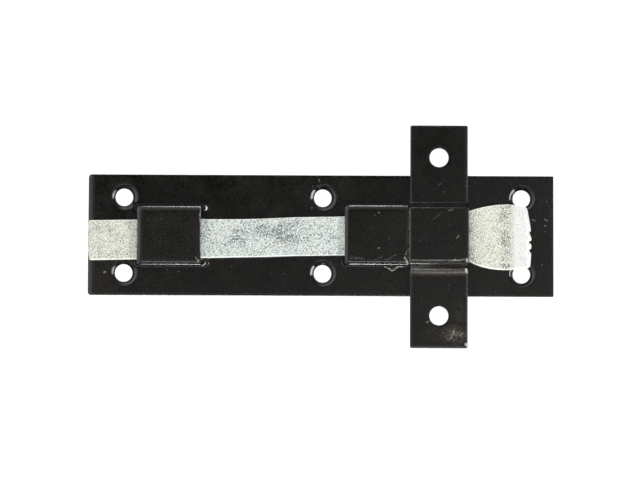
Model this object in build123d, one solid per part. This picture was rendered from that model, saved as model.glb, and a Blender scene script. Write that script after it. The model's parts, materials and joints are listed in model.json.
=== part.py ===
from build123d import *
import math
import os

os.makedirs("parts", exist_ok=True)

# A flat spring bolt, in millimetres. X runs along the plate and the bolt shoots towards -X.
# Z rises from the flat back of the plate, and the origin is the centre of that back.

# Backplate, a flat steel strip
plate_length = 150.0
plate_width = 38.9
plate_thickness = 2.0
plate_front_corner = 1.0
plate_rear_corner = 0.4
plate_front_roll = 1.0

# Three pairs of countersunk screw holes in the backplate
screw_hole = 6.0
screw_sink = 8.4
screw_sink_angle = 90.0
screw_row_spacing = 24.5
front_screw_margin = 11.3
middle_screw_margin = 7.35
rear_screw_margin = 10.4

# Two staples, the U straps that guide the bar
staple_width = 20.2
staple_thickness = 1.3
staple_inner_bend = 0.7
staple_edge_roll = 0.5
staple_waist = 0.25
front_staple_margin = 15.9
rear_staple_side_shift = 0.35

# Slots through the backplate, where the legs of the staples are hammered over
slot_play = 0.1
slot_front_play = 0.5
slot_rear_play = 2.2
peen_bevel = 0.4
peen_height = 0.9
peen_spread = 0.8
peen_inset = 0.4

# Bolt bar with its thumb piece, one flat bar that is bowed to press on the staples
bar_width = 12.4
bar_nose_width = 12.8
bar_thickness = 2.3
bar_clearance = 0.15
bar_bow = 0.8
bar_bow_radius = 400.0
bar_bow_place = 62.6
bar_overhang = 0.15
bar_nose_rise = 0.55
bar_nose_roll = 0.7
bar_jog = 0.16
bar_jog_length = 10.0
strap_headroom = 0.3

# Lie of the bar: it leans on one leg of the front staple and is nearly central in the rear one
bar_side_play = 1.95
bar_front_gap = 0.61
bar_rear_lean = 0.09

# Thumb piece: its two sides flare by different amounts, and its end turns up. The starts and ends
# of the flares say how far past the neck the guide points of their curves lie.
head_length = 20.0
head_end_margin = 7.4
head_neck = 5.6
head_left = 9.5
head_right = 11.6
left_flare_start = 4.0
left_flare_end = 8.0
right_flare_start = 4.6
right_flare_end = 5.4
lip_angle = 34.0
lip_bend = 4.0
lip_length = 7.2
lip_corner = 1.2
lip_left_taper = 1.2
lip_right_taper = 0.4
lip_bulge = 0.7
notch_count = 3
notch_pitch = 2.8
notch_depth = 0.65
notch_first = -0.3

# Keeper, the loose strap that is screwed to the frame and takes the bolt
keeper_length = 72.0
keeper_width = 18.6
keeper_thickness = 1.5
keeper_side_play = 3.3
keeper_splay = 20.0
keeper_inner_bend = 0.5
keeper_foot_bend = 1.2
keeper_hole = 6.2
keeper_hole_spacing = 51.1
keeper_bulge = 0.25
keeper_side_shift = -0.2
keeper_gap = 0.7
head_gap = 0.3

# Heights of the stack, from the back of the plate up
bar_under = plate_thickness + bar_clearance
bar_top = bar_under + bar_thickness
strap_under = bar_top + bar_bow + strap_headroom
staple_top = strap_under + staple_thickness
keeper_top = strap_under + keeper_thickness

# Places along the plate, from its two ends inwards
front_end = -plate_length / 2
rear_end = plate_length / 2
front_screw_x = front_end + front_screw_margin
rear_screw_x = rear_end - rear_screw_margin
front_staple_x = front_end + front_staple_margin + staple_width / 2
head_end_x = rear_end - head_end_margin
head_start_x = head_end_x - head_length
keeper_x = head_start_x - head_gap - keeper_width / 2
rear_staple_x = keeper_x - keeper_width / 2 - keeper_gap - staple_width / 2
bar_nose_x = front_end - bar_overhang
bar_bow_x = bar_nose_x + bar_bow_place
bar_neck_x = keeper_x - keeper_width / 2
middle_screw_x = rear_staple_x - staple_width / 2 - middle_screw_margin
screw_columns = [front_screw_x, middle_screw_x, rear_screw_x]
staple_places = [(front_staple_x, 0), (rear_staple_x, rear_staple_side_shift)]

# Places across the plate
staple_inner = bar_width / 2 + bar_side_play
staple_outer = staple_inner + staple_thickness
leg_middle = (staple_outer + staple_inner) / 2
staple_outer_bend = staple_inner_bend + staple_thickness
slot_width = staple_thickness + 2 * slot_play
slot_length = staple_width + slot_front_play + slot_rear_play
slot_shift = (slot_rear_play - slot_front_play) / 2
keeper_crown = bar_width / 2 + keeper_side_play

# Slope of the bar across the plate, and how far off centre it crosses the middle of the plate
bar_front_lean = bar_side_play - bar_front_gap
bar_slope = (bar_front_lean - bar_rear_lean) / (rear_staple_x - front_staple_x)
bar_skew = math.degrees(math.atan(bar_slope))
bar_side_shift = -bar_rear_lean - rear_staple_x * bar_slope


def strap_section(points, bends, thickness):
    """Section of a bent strap across the plate: its outer line and the same line a thickness in."""
    with BuildSketch(Plane.YZ) as section:
        with BuildLine():
            FilletPolyline(*points, radius=bends)
            offset(amount=thickness, side=Side.RIGHT)
        make_face()
    return section.sketch


def slot_cutter(x, y):
    """A round-ended slot through the plate, bevelled at the back to take the hammered leg."""
    slot = SlotOverall(slot_length, slot_width)
    through = extrude(slot, plate_thickness)
    bevel = extrude(Plane.XY.offset(peen_bevel) * slot, -peen_bevel, taper=-45)
    return Pos(x + slot_shift, y, 0) * (through + bevel)


def screw_cutter(x, y):
    """A screw hole with its countersink, open at the top face."""
    sink_depth = (screw_sink - screw_hole) / 2 / math.tan(math.radians(screw_sink_angle / 2))
    sink = Cone(
        screw_hole / 2, screw_sink / 2, sink_depth, align=(Align.CENTER, Align.CENTER, Align.MAX)
    )
    hole = Cylinder(screw_hole / 2, plate_thickness, align=(Align.CENTER, Align.CENTER, Align.MAX))
    return Pos(x, y, plate_thickness) * (hole + sink)


def make_backplate():
    """Flat plate with its six screw holes and the four slots of the staples."""
    outline = Rectangle(plate_length, plate_width)
    outline = fillet(outline.vertices().group_by(Axis.X)[0], plate_front_corner)
    outline = fillet(outline.vertices().group_by(Axis.X)[-1], plate_rear_corner)
    plate = extrude(outline, plate_thickness)
    front_edge = plate.edges().group_by(Axis.Z)[-1].filter_by(Axis.Y).sort_by(Axis.X)[0]
    plate = roll_edge(plate, front_edge)
    for x in screw_columns:
        for side in (-1, 1):
            plate -= screw_cutter(x, side * screw_row_spacing / 2)
    for x, y in staple_places:
        for side in (-1, 1):
            plate -= slot_cutter(x, y + side * leg_middle)
    return plate


def roll_edge(plate, edge):
    """Rounds the top of the plate's front end, which the shear has rolled over."""
    roll = plate_front_roll
    middle = edge @ 0.5
    with BuildSketch(Plane.XZ) as corner:
        with Locations((middle.X + roll / 2, middle.Z - roll / 2)):
            Rectangle(roll, roll)
        with Locations((middle.X + roll, middle.Z - roll)):
            Circle(roll, mode=Mode.SUBTRACT)
    return plate - extrude(corner.sketch, plate_width, both=True)


def make_staple(x, y):
    """One U strap across the bar, its legs hammered over in the slots of the plate."""
    line = [
        (-staple_outer, 0),
        (-staple_outer, staple_top),
        (staple_outer, staple_top),
        (staple_outer, 0),
    ]
    section = strap_section(line, staple_outer_bend, staple_thickness)
    half = staple_width / 2
    strap = extrude(section, half, both=True)
    front_edges = strap.edges().group_by(Axis.X)[0]
    strap = fillet(front_edges.filter_by(on_outer_side), staple_edge_roll)
    waist = waisted_plan(half, staple_outer - staple_outer_bend)
    strap = strap & extrude(waist, staple_top)
    for side in (-1, 1):
        strap += peened_end(side, half)
    return Pos(x, y, 0) * strap


def on_outer_side(edge):
    """True for an edge of the strap's outer side, which lies beyond the middle of its thickness."""
    middle = edge @ 0.5
    beyond_leg = abs(middle.Y) > leg_middle
    beyond_crown = middle.Z > (strap_under + staple_top) / 2
    return middle.Z > 0 and (beyond_leg or beyond_crown)


def waisted_plan(half, reach):
    """Plan of a strap whose sides are drawn in between its two bends."""
    end = 2 * staple_outer
    with BuildSketch() as plan:
        with BuildLine():
            Polyline((half, reach), (half, end), (-half, end), (-half, reach))
            ThreePointArc((-half, reach), (-half + staple_waist, 0), (-half, -reach))
            Polyline((-half, -reach), (-half, -end), (half, -end), (half, -reach))
            ThreePointArc((half, -reach), (half - staple_waist, 0), (half, reach))
        make_face()
    return plan.sketch


def peened_end(side, half):
    """The hammered end of one leg: it fills the slot's bevel and is flush with the back."""
    wall = slot_width / 2
    leg = staple_thickness / 2
    with BuildSketch(Plane.YZ) as section:
        with BuildLine():
            Polyline(
                (-leg, peen_height),
                (-wall, peen_bevel),
                (-wall - peen_bevel, 0),
                (wall + peen_bevel, 0),
                (wall, peen_bevel),
                (leg, peen_height),
                close=True,
            )
        make_face()
    length = 2 * half - peen_inset + peen_spread
    return Pos(peen_inset - half, side * leg_middle, 0) * extrude(section.sketch, length)


def bar_profile():
    """Side of the bar: the bowed body, the flat neck and the end that turns up."""
    lip = math.radians(lip_angle)
    lip_corner_x = head_end_x - bar_thickness * math.sin(lip) - lip_length * math.cos(lip)
    upper = [
        (bar_nose_x, bar_top),
        (bar_bow_x, bar_top + bar_bow),
        (bar_neck_x, bar_top),
        (lip_corner_x, bar_top),
        (lip_corner_x + lip_length * math.cos(lip), bar_top + lip_length * math.sin(lip)),
    ]
    with BuildSketch(Plane.XZ) as side:
        with BuildLine():
            FilletPolyline(*upper, radius=[bar_bow_radius, bar_bow_radius, lip_bend])
            offset(amount=bar_thickness, side=Side.RIGHT)
        make_face()
        nose = side.vertices().group_by(Axis.X)[0].sort_by(Axis.Z)[-1]
        fillet(nose, bar_nose_roll)
    return side.sketch


def bar_plan():
    """Plan of the bar: rounded nose, slight jog, and the thumb piece with its uneven flare."""
    half = bar_width / 2
    nose = bar_nose_width / 2
    step = bar_jog / 2
    jog_start = bar_bow_x - bar_jog_length / 2
    jog_end = bar_bow_x + bar_jog_length / 2
    nose_x = bar_nose_x + bar_nose_rise
    neck_x = head_start_x - head_neck
    wide_x = head_end_x - lip_length
    lip_x = head_end_x - lip_bulge
    left_corner = (lip_x, head_left - lip_left_taper)
    right_corner = (lip_x, -head_right + lip_right_taper)
    notch_side = notch_depth * math.sqrt(2)
    with BuildSketch() as plan:
        with BuildLine():
            Polyline(
                (nose_x, nose - step),
                (jog_start, half - step),
                (jog_end, half + step),
                (neck_x, half + step),
            )
            Bezier(
                (neck_x, half + step),
                (neck_x + left_flare_start, half + step),
                (neck_x + left_flare_end, head_left),
                (wide_x, head_left),
            )
            Line((wide_x, head_left), left_corner)
            ThreePointArc(left_corner, (head_end_x, 0), right_corner)
            Line(right_corner, (wide_x, -head_right))
            Bezier(
                (wide_x, -head_right),
                (neck_x + right_flare_end, -head_right),
                (neck_x + right_flare_start, -half + step),
                (neck_x, -half + step),
            )
            Polyline(
                (neck_x, -half + step),
                (jog_end, -half + step),
                (jog_start, -half - step),
                (nose_x, -nose - step),
            )
            ThreePointArc((nose_x, -nose - step), (bar_nose_x, -step), (nose_x, nose - step))
        make_face()
        fillet(plan.vertices().group_by(Axis.X)[-1], lip_corner)
        for number in range(notch_count):
            with Locations((head_end_x, notch_first - number * notch_pitch)):
                Rectangle(notch_side, notch_side, rotation=45, mode=Mode.SUBTRACT)
    return plan.sketch


def make_bolt_bar():
    """The sliding bar and its thumb piece, one piece, lying a little askew in the staples."""
    body = extrude(bar_profile(), head_left + head_right, both=True)
    bar = body & extrude(bar_plan(), bar_top + lip_length)
    return Pos(0, bar_side_shift, 0) * Rot(0, 0, bar_skew) * bar


def make_keeper():
    """Loose strap with two screw holes, lying over the bar with its feet on the plate."""
    splay = math.tan(math.radians(keeper_splay))
    foot_top = plate_thickness + keeper_thickness
    foot = keeper_crown + (keeper_top - foot_top) * splay
    tip = keeper_length / 2
    line = [
        (-tip, foot_top),
        (-foot, foot_top),
        (-keeper_crown, keeper_top),
        (keeper_crown, keeper_top),
        (foot, foot_top),
        (tip, foot_top),
    ]
    crown_bend = keeper_inner_bend + keeper_thickness
    bends = [keeper_foot_bend, crown_bend, crown_bend, keeper_foot_bend]
    half = keeper_width / 2
    strap = extrude(strap_section(line, bends, keeper_thickness), 2 * half, both=True)
    with BuildSketch() as plan:
        Rectangle(keeper_width, keeper_length)
        for side in (-1, 1):
            with BuildLine():
                Polyline(
                    (side * half, -foot - keeper_thickness),
                    (side * (half + keeper_bulge), -keeper_crown),
                    (side * (half + keeper_bulge), keeper_crown),
                    (side * half, foot + keeper_thickness),
                    close=True,
                )
            make_face()
        with GridLocations(0, keeper_hole_spacing, 1, 2):
            Circle(keeper_hole / 2, mode=Mode.SUBTRACT)
    strap = strap & extrude(plan.sketch, keeper_top)
    return Pos(keeper_x, keeper_side_shift, 0) * strap


nodes = {
    "backplate": make_backplate(),
    "front_staple": make_staple(*staple_places[0]),
    "rear_staple": make_staple(*staple_places[1]),
    "bolt_bar": make_bolt_bar(),
    "keeper": make_keeper(),
}
for name, shape in nodes.items():
    export_step(shape, f"parts/{name}.step")
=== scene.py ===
"""Spring bolt: the finish and the fine form of its five pieces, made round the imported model."""

import json
import logging
import math
from dataclasses import dataclass
from enum import Enum
from typing import Callable, Iterable, Sequence

import bmesh
import bpy
from mathutils import Matrix, Vector, noise


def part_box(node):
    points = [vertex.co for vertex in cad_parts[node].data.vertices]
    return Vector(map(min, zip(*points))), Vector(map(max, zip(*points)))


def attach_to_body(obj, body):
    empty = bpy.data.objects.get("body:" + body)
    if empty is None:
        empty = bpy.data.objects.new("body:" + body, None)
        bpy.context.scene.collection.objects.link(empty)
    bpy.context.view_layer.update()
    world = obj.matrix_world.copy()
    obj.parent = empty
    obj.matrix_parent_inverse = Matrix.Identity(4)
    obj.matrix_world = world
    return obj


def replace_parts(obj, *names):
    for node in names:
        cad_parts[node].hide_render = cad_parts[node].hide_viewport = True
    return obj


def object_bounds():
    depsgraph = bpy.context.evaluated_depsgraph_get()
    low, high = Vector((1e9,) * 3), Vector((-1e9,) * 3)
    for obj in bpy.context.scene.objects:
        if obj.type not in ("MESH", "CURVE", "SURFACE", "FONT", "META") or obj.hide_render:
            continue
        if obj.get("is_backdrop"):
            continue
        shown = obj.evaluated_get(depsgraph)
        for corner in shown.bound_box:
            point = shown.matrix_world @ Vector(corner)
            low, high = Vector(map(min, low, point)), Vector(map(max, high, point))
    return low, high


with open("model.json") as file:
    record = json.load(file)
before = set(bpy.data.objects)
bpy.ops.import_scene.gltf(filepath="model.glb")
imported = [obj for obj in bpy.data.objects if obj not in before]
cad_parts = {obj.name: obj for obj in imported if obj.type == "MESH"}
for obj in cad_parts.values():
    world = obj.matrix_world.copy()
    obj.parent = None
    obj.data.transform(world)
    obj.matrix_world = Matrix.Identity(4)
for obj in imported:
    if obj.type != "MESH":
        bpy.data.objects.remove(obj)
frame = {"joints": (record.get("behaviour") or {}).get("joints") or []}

LOG = logging.getLogger("spring_bolt")
MM = 0.001

# Lines of a grid and stops of a section that agree to so many decimals of a metre count as one.
LINE_DECIMALS = 8
STOP_DECIMALS = 9
# A gap between two lines may pass the widest step by this share of it.
STEP_SLACK = 1e-6
# How far the larger faces decide the shading. 50 weighs all faces alike, and 100 counts only the largest.
FLAT_WEIGHT = 60

Point = tuple[float, float]
Place = tuple[float, float, float]
Colour = tuple[float, float, float]
Span = tuple[float, ...]
Patch = tuple[int, int, int, int]
Placer = Callable[[float, float, float], Vector]
Socket = bpy.types.NodeSocket


class Body(Enum):
    """The bodies of the frame that a piece can ride on."""

    PLATE = "plate"
    BOLT = "bolt"


class Finish(Enum):
    """The material slots of the record."""

    PLATE_PAINT = "black_paint_plate"
    STAPLE_PAINT = "black_paint_staple"
    KEEPER_PAINT = "black_paint_keeper"
    ZINC = "zinc_bar"


def clamp(value: float, low: float = 0.0, high: float = 1.0) -> float:
    """Keeps a value between two limits."""
    return min(max(value, low), high)


def in_plan(x: float, y: float) -> Point:
    """A place or a size in the plan, given in millimetres."""
    return x * MM, y * MM


def in_frame(x: float, y: float, z: float) -> Place:
    """A place in the frame, given in millimetres."""
    return x * MM, y * MM, z * MM


def spread(start: float, end: float, count: int) -> list[float]:
    """Values at even steps from start to end, both included."""
    return [start + (end - start) * number / count for number in range(count + 1)]


def grid_lines(stops: Iterable[float], step: float) -> list[float]:
    """Spreads even lines between stops.

    Args:
        stops: values that the lines have to pass through.
        step: the widest gap between two lines.

    Returns:
        The lines in rising order.
    """
    ordered = sorted({round(stop, LINE_DECIMALS) for stop in stops})
    lines = [ordered[0]]
    for low, high in zip(ordered, ordered[1:]):
        count = max(1, math.ceil((high - low) / step - STEP_SLACK))
        lines += spread(low, high, count)[1:]
    return lines


class BentLine:
    """A line of straight runs joined by round bends, followed by its length."""

    def __init__(self, points: Sequence[Point], radii: Sequence[float]) -> None:
        """Works out the runs and the bends.

        Args:
            points: the corners of the line, with its two ends.
            radii: the radius of the bend at each inner corner.
        """
        corners = [Vector(point) for point in points]
        self.parts: list[tuple[float, Vector, float, float]] = []
        self.stops = [0.0]
        here = corners[0]
        cut_before = 0.0
        for index in range(1, len(corners)):
            run = corners[index] - corners[index - 1]
            heading = math.atan2(run.y, run.x)
            turn, cut = 0.0, 0.0
            if index < len(corners) - 1:
                after = corners[index + 1] - corners[index]
                turn = math.remainder(math.atan2(after.y, after.x) - heading, math.tau)
                cut = radii[index - 1] * math.tan(abs(turn) / 2)
            self._add(here, heading, 0.0, run.length - cut_before - cut)
            here = corners[index] - run.normalized() * cut
            if turn:
                radius = radii[index - 1]
                self._add(here, heading, math.copysign(1 / radius, turn), radius * abs(turn))
                here = corners[index] + after.normalized() * cut
            cut_before = cut

    def _add(self, start: Vector, heading: float, curvature: float, length: float) -> None:
        """Adds one run or bend of a length to the end of the line."""
        self.parts.append((self.stops[-1], start.copy(), heading, curvature))
        self.stops.append(self.stops[-1] + length)

    @property
    def length(self) -> float:
        """The whole length of the line."""
        return self.stops[-1]

    def bend_stops(self, count: int) -> list[float]:
        """Distances that cut each bend of the line into a number of pieces."""
        ends = zip(self.parts, self.stops, self.stops[1:])
        return [stop for part, start, end in ends if part[3] for stop in spread(start, end, count)]

    def at(self, distance: float) -> tuple[Vector, Vector]:
        """Finds a place on the line.

        Args:
            distance: how far along the line it is.

        Returns:
            The point there and the unit normal to the line's left.
        """
        start, origin, heading, curvature = next(
            (part for part in reversed(self.parts) if part[0] <= distance), self.parts[0]
        )
        along = distance - start
        angle = heading + curvature * along
        if curvature:
            chord = Vector((math.sin(angle) - math.sin(heading), math.cos(heading) - math.cos(angle)))
            point = origin + chord / curvature
        else:
            point = origin + Vector((math.cos(heading), math.sin(heading))) * along
        return point, Vector((-math.sin(angle), math.cos(angle)))


@dataclass(frozen=True)
class Roll:
    """The rounding of one edge of a sheet: a wide shallow fall that ends in a tight corner.

    The lines are where the grid is denser, as shares of the corner and of the width.
    """

    width: float
    depth: float
    corner: float = 0.12 * MM
    power: float = 1.7
    corner_lines: Span = (0.0, 0.04, 0.15, 0.35, 0.65, 1.0)
    width_lines: Span = (0.3, 0.45, 0.6, 0.8, 1.0)

    def distances(self) -> list[float]:
        """Distances from the edge at which the grid needs a line."""
        tight = [self.corner * share for share in self.corner_lines]
        return tight + [self.width * share for share in self.width_lines]

    def fall(self, distance: float) -> float:
        """Works out how far the face lies below its flat.

        Args:
            distance: how far the place is from the edge.

        Returns:
            The depth there.
        """
        wide = self.depth * max(0.0, 1 - distance / self.width) ** self.power
        tight = max(0.0, self.corner - distance)
        return wide + self.corner - math.sqrt(self.corner**2 - tight**2)


@dataclass(frozen=True)
class Hole:
    """A round or round-ended hole in a sheet, long in the direction of u.

    The profile runs from the outer face to the inner face: each corner is a radius, a height above the
    inner face and the rounding of that corner. The lip is the width and height of metal raised round
    it, where the profile lies above a share of the sheet's thickness, the lip's floor. Where lip_side
    is 1 or -1, the lip fades out towards the other side. The shift is how far the hole's outer end lies
    off the middle of its inner end. The flats are rings of even metal round the two ends, as shares of
    the margin.
    """

    u: float
    v: float
    profile: tuple[tuple[float, float, float], ...]
    straight: float = 0.0
    margin: float = 1.3 * MM
    lip: Point = (0.0, 0.0)
    lip_side: int = 0
    shift: Point = (0.0, 0.0)
    outer_flat: float = 0.5
    inner_flat: float = 0.4
    lip_floor: float = 0.9
    lip_steps: int = 6
    bend_steps: int = 4

    @property
    def reach(self) -> Point:
        """Half the size of the patch of the grid that the hole takes up."""
        widest = max(corner[0] for corner in self.profile) + self.margin
        return self.straight + widest, widest

    def wall(self) -> list[tuple[float, float, float]]:
        """Works out the hole's section.

        Returns:
            Its points as radii, heights with the corners rounded, and how far the lip is raised there.
        """
        flat = max(self.outer_flat * self.margin, self.lip[0])
        first, last = self.profile[0], self.profile[-1]
        points = [(first[0] + flat, first[1])]
        points += [(radius, height) for radius, height, _ in self.profile]
        points += [(last[0] + self.inner_flat * self.margin, last[1])]
        line = BentLine(points, [rounding for _, _, rounding in self.profile])
        stops = spread(line.stops[0], line.stops[1], self.lip_steps if self.lip[1] else 1)
        stops += line.bend_stops(self.bend_steps) + line.stops
        section = []
        for stop in sorted({round(stop, STOP_DECIMALS) for stop in stops}):
            radius, height = line.at(stop)[0]
            raised = 0.0
            if height > first[1] * self.lip_floor:
                raised = self.lip[1] * math.sin(math.pi * clamp((radius - first[0]) / flat)) ** 2
            section.append((radius, height, raised))
        return section


@dataclass
class Sheet:
    """A sheet of metal that is laid out flat, cut, rolled at its edges and then bent into place.

    Its plan has the directions u and v, and heights count from its inner face. The ring share is how far
    from the grid towards a hole the ring of vertices between them lies.
    """

    u_range: Point
    v_range: Point
    thickness: float
    place: Placer
    step: float = 0.8 * MM
    low_u: Roll = Roll(0.3 * MM, 0.03 * MM)
    high_u: Roll = Roll(0.3 * MM, 0.03 * MM)
    low_v: Roll = Roll(0.3 * MM, 0.03 * MM)
    high_v: Roll = Roll(0.3 * MM, 0.03 * MM)
    back: Roll = Roll(0.2 * MM, 0.02 * MM)
    corners: tuple[float, float] = (0.3 * MM, 0.3 * MM)
    u_stops: Sequence[float] = ()
    v_stops: Sequence[float] = ()
    holes: Sequence[Hole] = ()
    wave: float = 0.012 * MM
    wave_size: float = 9.0 * MM
    rim_width: float = 0.9 * MM
    ring_share: float = 0.5

    def _edges(self, u: float, v: float) -> list[tuple[float, Roll]]:
        """Distances of a place in the plan from the four edges, with the roll of each."""
        distances = (u - self.u_range[0], self.u_range[1] - u, v - self.v_range[0], self.v_range[1] - v)
        return list(zip(distances, (self.low_u, self.high_u, self.low_v, self.high_v)))

    def round_corner(self, u: float, v: float) -> Point:
        """Makes the corners of the plan round.

        Args:
            u: the place in the plan, as if its corners were square.
            v: the same in the other direction.

        Returns:
            The place in the plan with round corners.
        """
        near_low_u = u - self.u_range[0] < self.u_range[1] - u
        near_low_v = v - self.v_range[0] < self.v_range[1] - v
        radius = self.corners[0] if near_low_u else self.corners[1]
        end_u, sign_u = (self.u_range[0], 1) if near_low_u else (self.u_range[1], -1)
        end_v, sign_v = (self.v_range[0], 1) if near_low_v else (self.v_range[1], -1)
        p = 1 - abs(u - end_u) / radius
        q = 1 - abs(v - end_v) / radius
        if p <= 0 or q <= 0:
            return u, v
        scale = max(p, q) / math.hypot(p, q)
        return end_u + sign_u * radius * (1 - p * scale), end_v + sign_v * radius * (1 - q * scale)

    def swell(self, u: float, v: float) -> float:
        """How far the outer face dips at a place because the sheet isn't quite flat."""
        return self.wave * (1 + noise.noise(Vector((u, v, self.thickness)) / self.wave_size)) / 2

    def face_height(self, u: float, v: float, outer: bool) -> float:
        """Finds the height of a face.

        Args:
            u: the place in the plan.
            v: the same in the other direction.
            outer: True for the outer face.

        Returns:
            The height above the flat of the inner face.
        """
        edges = self._edges(u, v)
        if outer:
            fall = max(roll.fall(max(distance, 0.0)) for distance, roll in edges)
            return self.thickness - fall - self.swell(u, v)
        return max(self.back.fall(max(distance, 0.0)) for distance, _ in edges)

    def rim(self, u: float, v: float) -> float:
        """How near a place in the plan is to the sheet's edges, from 0 to 1."""
        return clamp(1 - min(distance for distance, _ in self._edges(u, v)) / self.rim_width)

    def lines(self) -> tuple[list[float], list[float]]:
        """Places the lines of the grid.

        Returns:
            The lines along u and the lines along v.
        """
        us, vs = list(self.u_stops), list(self.v_stops)
        for span, lines, low, high in (
            (self.u_range, us, self.low_u, self.high_u),
            (self.v_range, vs, self.low_v, self.high_v),
        ):
            lines += [span[0] + distance for distance in low.distances()]
            lines += [span[1] - distance for distance in high.distances()]
        us += [self.u_range[0] + self.corners[0], self.u_range[1] - self.corners[1]]
        for radius in self.corners:
            vs += [self.v_range[0] + radius, self.v_range[1] - radius]
        for hole in self.holes:
            us += [hole.u - hole.reach[0], hole.u + hole.reach[0]]
            vs += [hole.v - hole.reach[1], hole.v + hole.reach[1]]
        return grid_lines(us, self.step), grid_lines(vs, self.step)

    def build(self, name: str) -> bpy.types.Object:
        """Builds the sheet as a closed mesh of quads.

        Args:
            name: the name of the new object.

        Returns:
            The object, with a rim attribute that is 1 along the edges.
        """
        weave = SheetMesh(self)
        patches = [weave.patch_of(hole) for hole in self.holes]
        weave.lay_faces(patches)
        for hole, patch in zip(self.holes, patches):
            weave.cut(hole, patch)
        bmesh.ops.recalc_face_normals(weave.mesh, faces=weave.mesh.faces)
        return finish_mesh(name, weave.mesh)


class SheetMesh:
    """The working mesh of a sheet: a grid for each face, joined at the edges and through the holes."""

    def __init__(self, sheet: Sheet) -> None:
        """Lays out the lines of the grid.

        Args:
            sheet: the sheet that is built.
        """
        self.sheet = sheet
        self.us, self.vs = sheet.lines()
        self.mesh = bmesh.new()
        self.rim_layer = self.mesh.verts.layers.float.new("rim")
        self.grid: dict[tuple[int, int, bool], bmesh.types.BMVert] = {}

    def _vertex(self, u: float, v: float, height: float, rim: float) -> bmesh.types.BMVert:
        """Adds a vertex.

        Args:
            u: its place in the plan.
            v: the same in the other direction.
            height: its height above the inner face.
            rim: how near it is to an edge.

        Returns:
            The new vertex.
        """
        new = self.mesh.verts.new(self.sheet.place(*self.sheet.round_corner(u, v), height))
        new[self.rim_layer] = rim
        return new

    def _crossing(self, i: int, j: int, outer: bool) -> bmesh.types.BMVert:
        """Finds or adds the vertex where two lines of the grid cross.

        Args:
            i: the number of the line along u.
            j: the number of the line along v.
            outer: True for the outer face.

        Returns:
            The vertex.
        """
        if (i, j, outer) not in self.grid:
            u, v = self.us[i], self.vs[j]
            height = self.sheet.face_height(u, v, outer)
            self.grid[i, j, outer] = self._vertex(u, v, height, self.sheet.rim(u, v))
        return self.grid[i, j, outer]

    def _ring(self, crossings: Iterable[tuple[int, int]], outer: bool) -> list[bmesh.types.BMVert]:
        """The vertices at some crossings of one face, in their order."""
        return [self._crossing(i, j, outer) for i, j in crossings]

    def patch_of(self, hole: Hole) -> Patch:
        """Finds the part of the grid that a hole takes up.

        Args:
            hole: the hole.

        Returns:
            The numbers of the patch's first and last lines along u and along v.
        """
        numbers = []
        for lines, middle, reach in zip((self.us, self.vs), (hole.u, hole.v), hole.reach):
            for edge in (middle - reach, middle + reach):
                numbers.append(min(range(len(lines)), key=lambda number: abs(lines[number] - edge)))
        return tuple(numbers)

    def lay_faces(self, patches: Sequence[Patch]) -> None:
        """Lays both faces outside the patches and joins them round the sheet's edge.

        Args:
            patches: the parts of the grid that are left open.
        """
        taken: set[tuple[int, int]] = set()
        for i0, i1, j0, j1 in patches:
            taken.update((i, j) for i in range(i0, i1) for j in range(j0, j1))
        last_i, last_j = len(self.us) - 1, len(self.vs) - 1
        for i in range(last_i):
            for j in range(last_j):
                if (i, j) not in taken:
                    for outer in (True, False):
                        square = ((i, j), (i + 1, j), (i + 1, j + 1), (i, j + 1))
                        self.mesh.faces.new(self._ring(square, outer))
        border = frame_of(0, last_i, 0, last_j)
        join_rows(self.mesh, [self._ring(border, outer) for outer in (True, False)])

    def cut(self, hole: Hole, patch: Patch) -> None:
        """Fills a patch up to the hole's rims and lines the hole with its wall.

        Args:
            hole: the hole.
            patch: the part of the grid that it takes up.
        """
        sheet = self.sheet
        crossings = frame_of(*patch)
        rows = [self._ring(crossings, True)]
        section = hole.wall()
        outside = [(sheet.ring_share, section[0][0], sheet.thickness, 0.0)]
        inside = [(sheet.ring_share, section[-1][0], 0.0, 0.0)]
        for share, radius, height, raised in outside + [(1.0, *corner) for corner in section] + inside:
            row = []
            for i, j in crossings:
                axis = hole.u + clamp(self.us[i] - hole.u, -hole.straight, hole.straight)
                away = Vector((self.us[i] - axis, self.vs[j] - hole.v))
                spot = away.normalized() * (away.length * (1 - share) + radius * share)
                spot += Vector(hole.shift) * (share * height / sheet.thickness)
                u, v = axis + spot.x, hole.v + spot.y
                lift = clamp(1 + hole.lip_side * away.normalized().y) * raised
                level = height + lift - sheet.swell(u, v) * height / sheet.thickness
                row.append(self._vertex(u, v, level, 0.0))
            rows.append(row)
        rows.append(self._ring(crossings, False))
        join_rows(self.mesh, rows)


def frame_of(i0: int, i1: int, j0: int, j1: int) -> list[tuple[int, int]]:
    """The crossings round a rectangle of the grid, in order."""
    low, high = [(i, j0) for i in range(i0, i1)], [(i, j1) for i in range(i1, i0, -1)]
    return low + [(i1, j) for j in range(j0, j1)] + high + [(i0, j) for j in range(j1, j0, -1)]


def join_rows(mesh: bmesh.types.BMesh, rows: Sequence[Sequence[bmesh.types.BMVert]]) -> None:
    """Joins closed rows of vertices, one to the next, by bands of quads.

    Args:
        mesh: the working mesh.
        rows: the rows, all of one length.
    """
    for upper, lower in zip(rows, rows[1:]):
        for k in range(len(upper)):
            mesh.faces.new((upper[k - 1], upper[k], lower[k], lower[k - 1]))


def finish_mesh(name: str, mesh: bmesh.types.BMesh) -> bpy.types.Object:
    """Turns a working mesh into a smooth object whose flats stay flat.

    Args:
        name: the name of the object.
        mesh: the working mesh, which is freed.

    Returns:
        The object, linked to the scene.
    """
    data = bpy.data.meshes.new(name)
    mesh.to_mesh(data)
    mesh.free()
    data.shade_smooth()
    piece = bpy.data.objects.new(name, data)
    bpy.context.scene.collection.objects.link(piece)
    weighted = piece.modifiers.new("flats", "WEIGHTED_NORMAL")
    weighted.keep_sharp = False
    weighted.weight = FLAT_WEIGHT
    return piece


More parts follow.
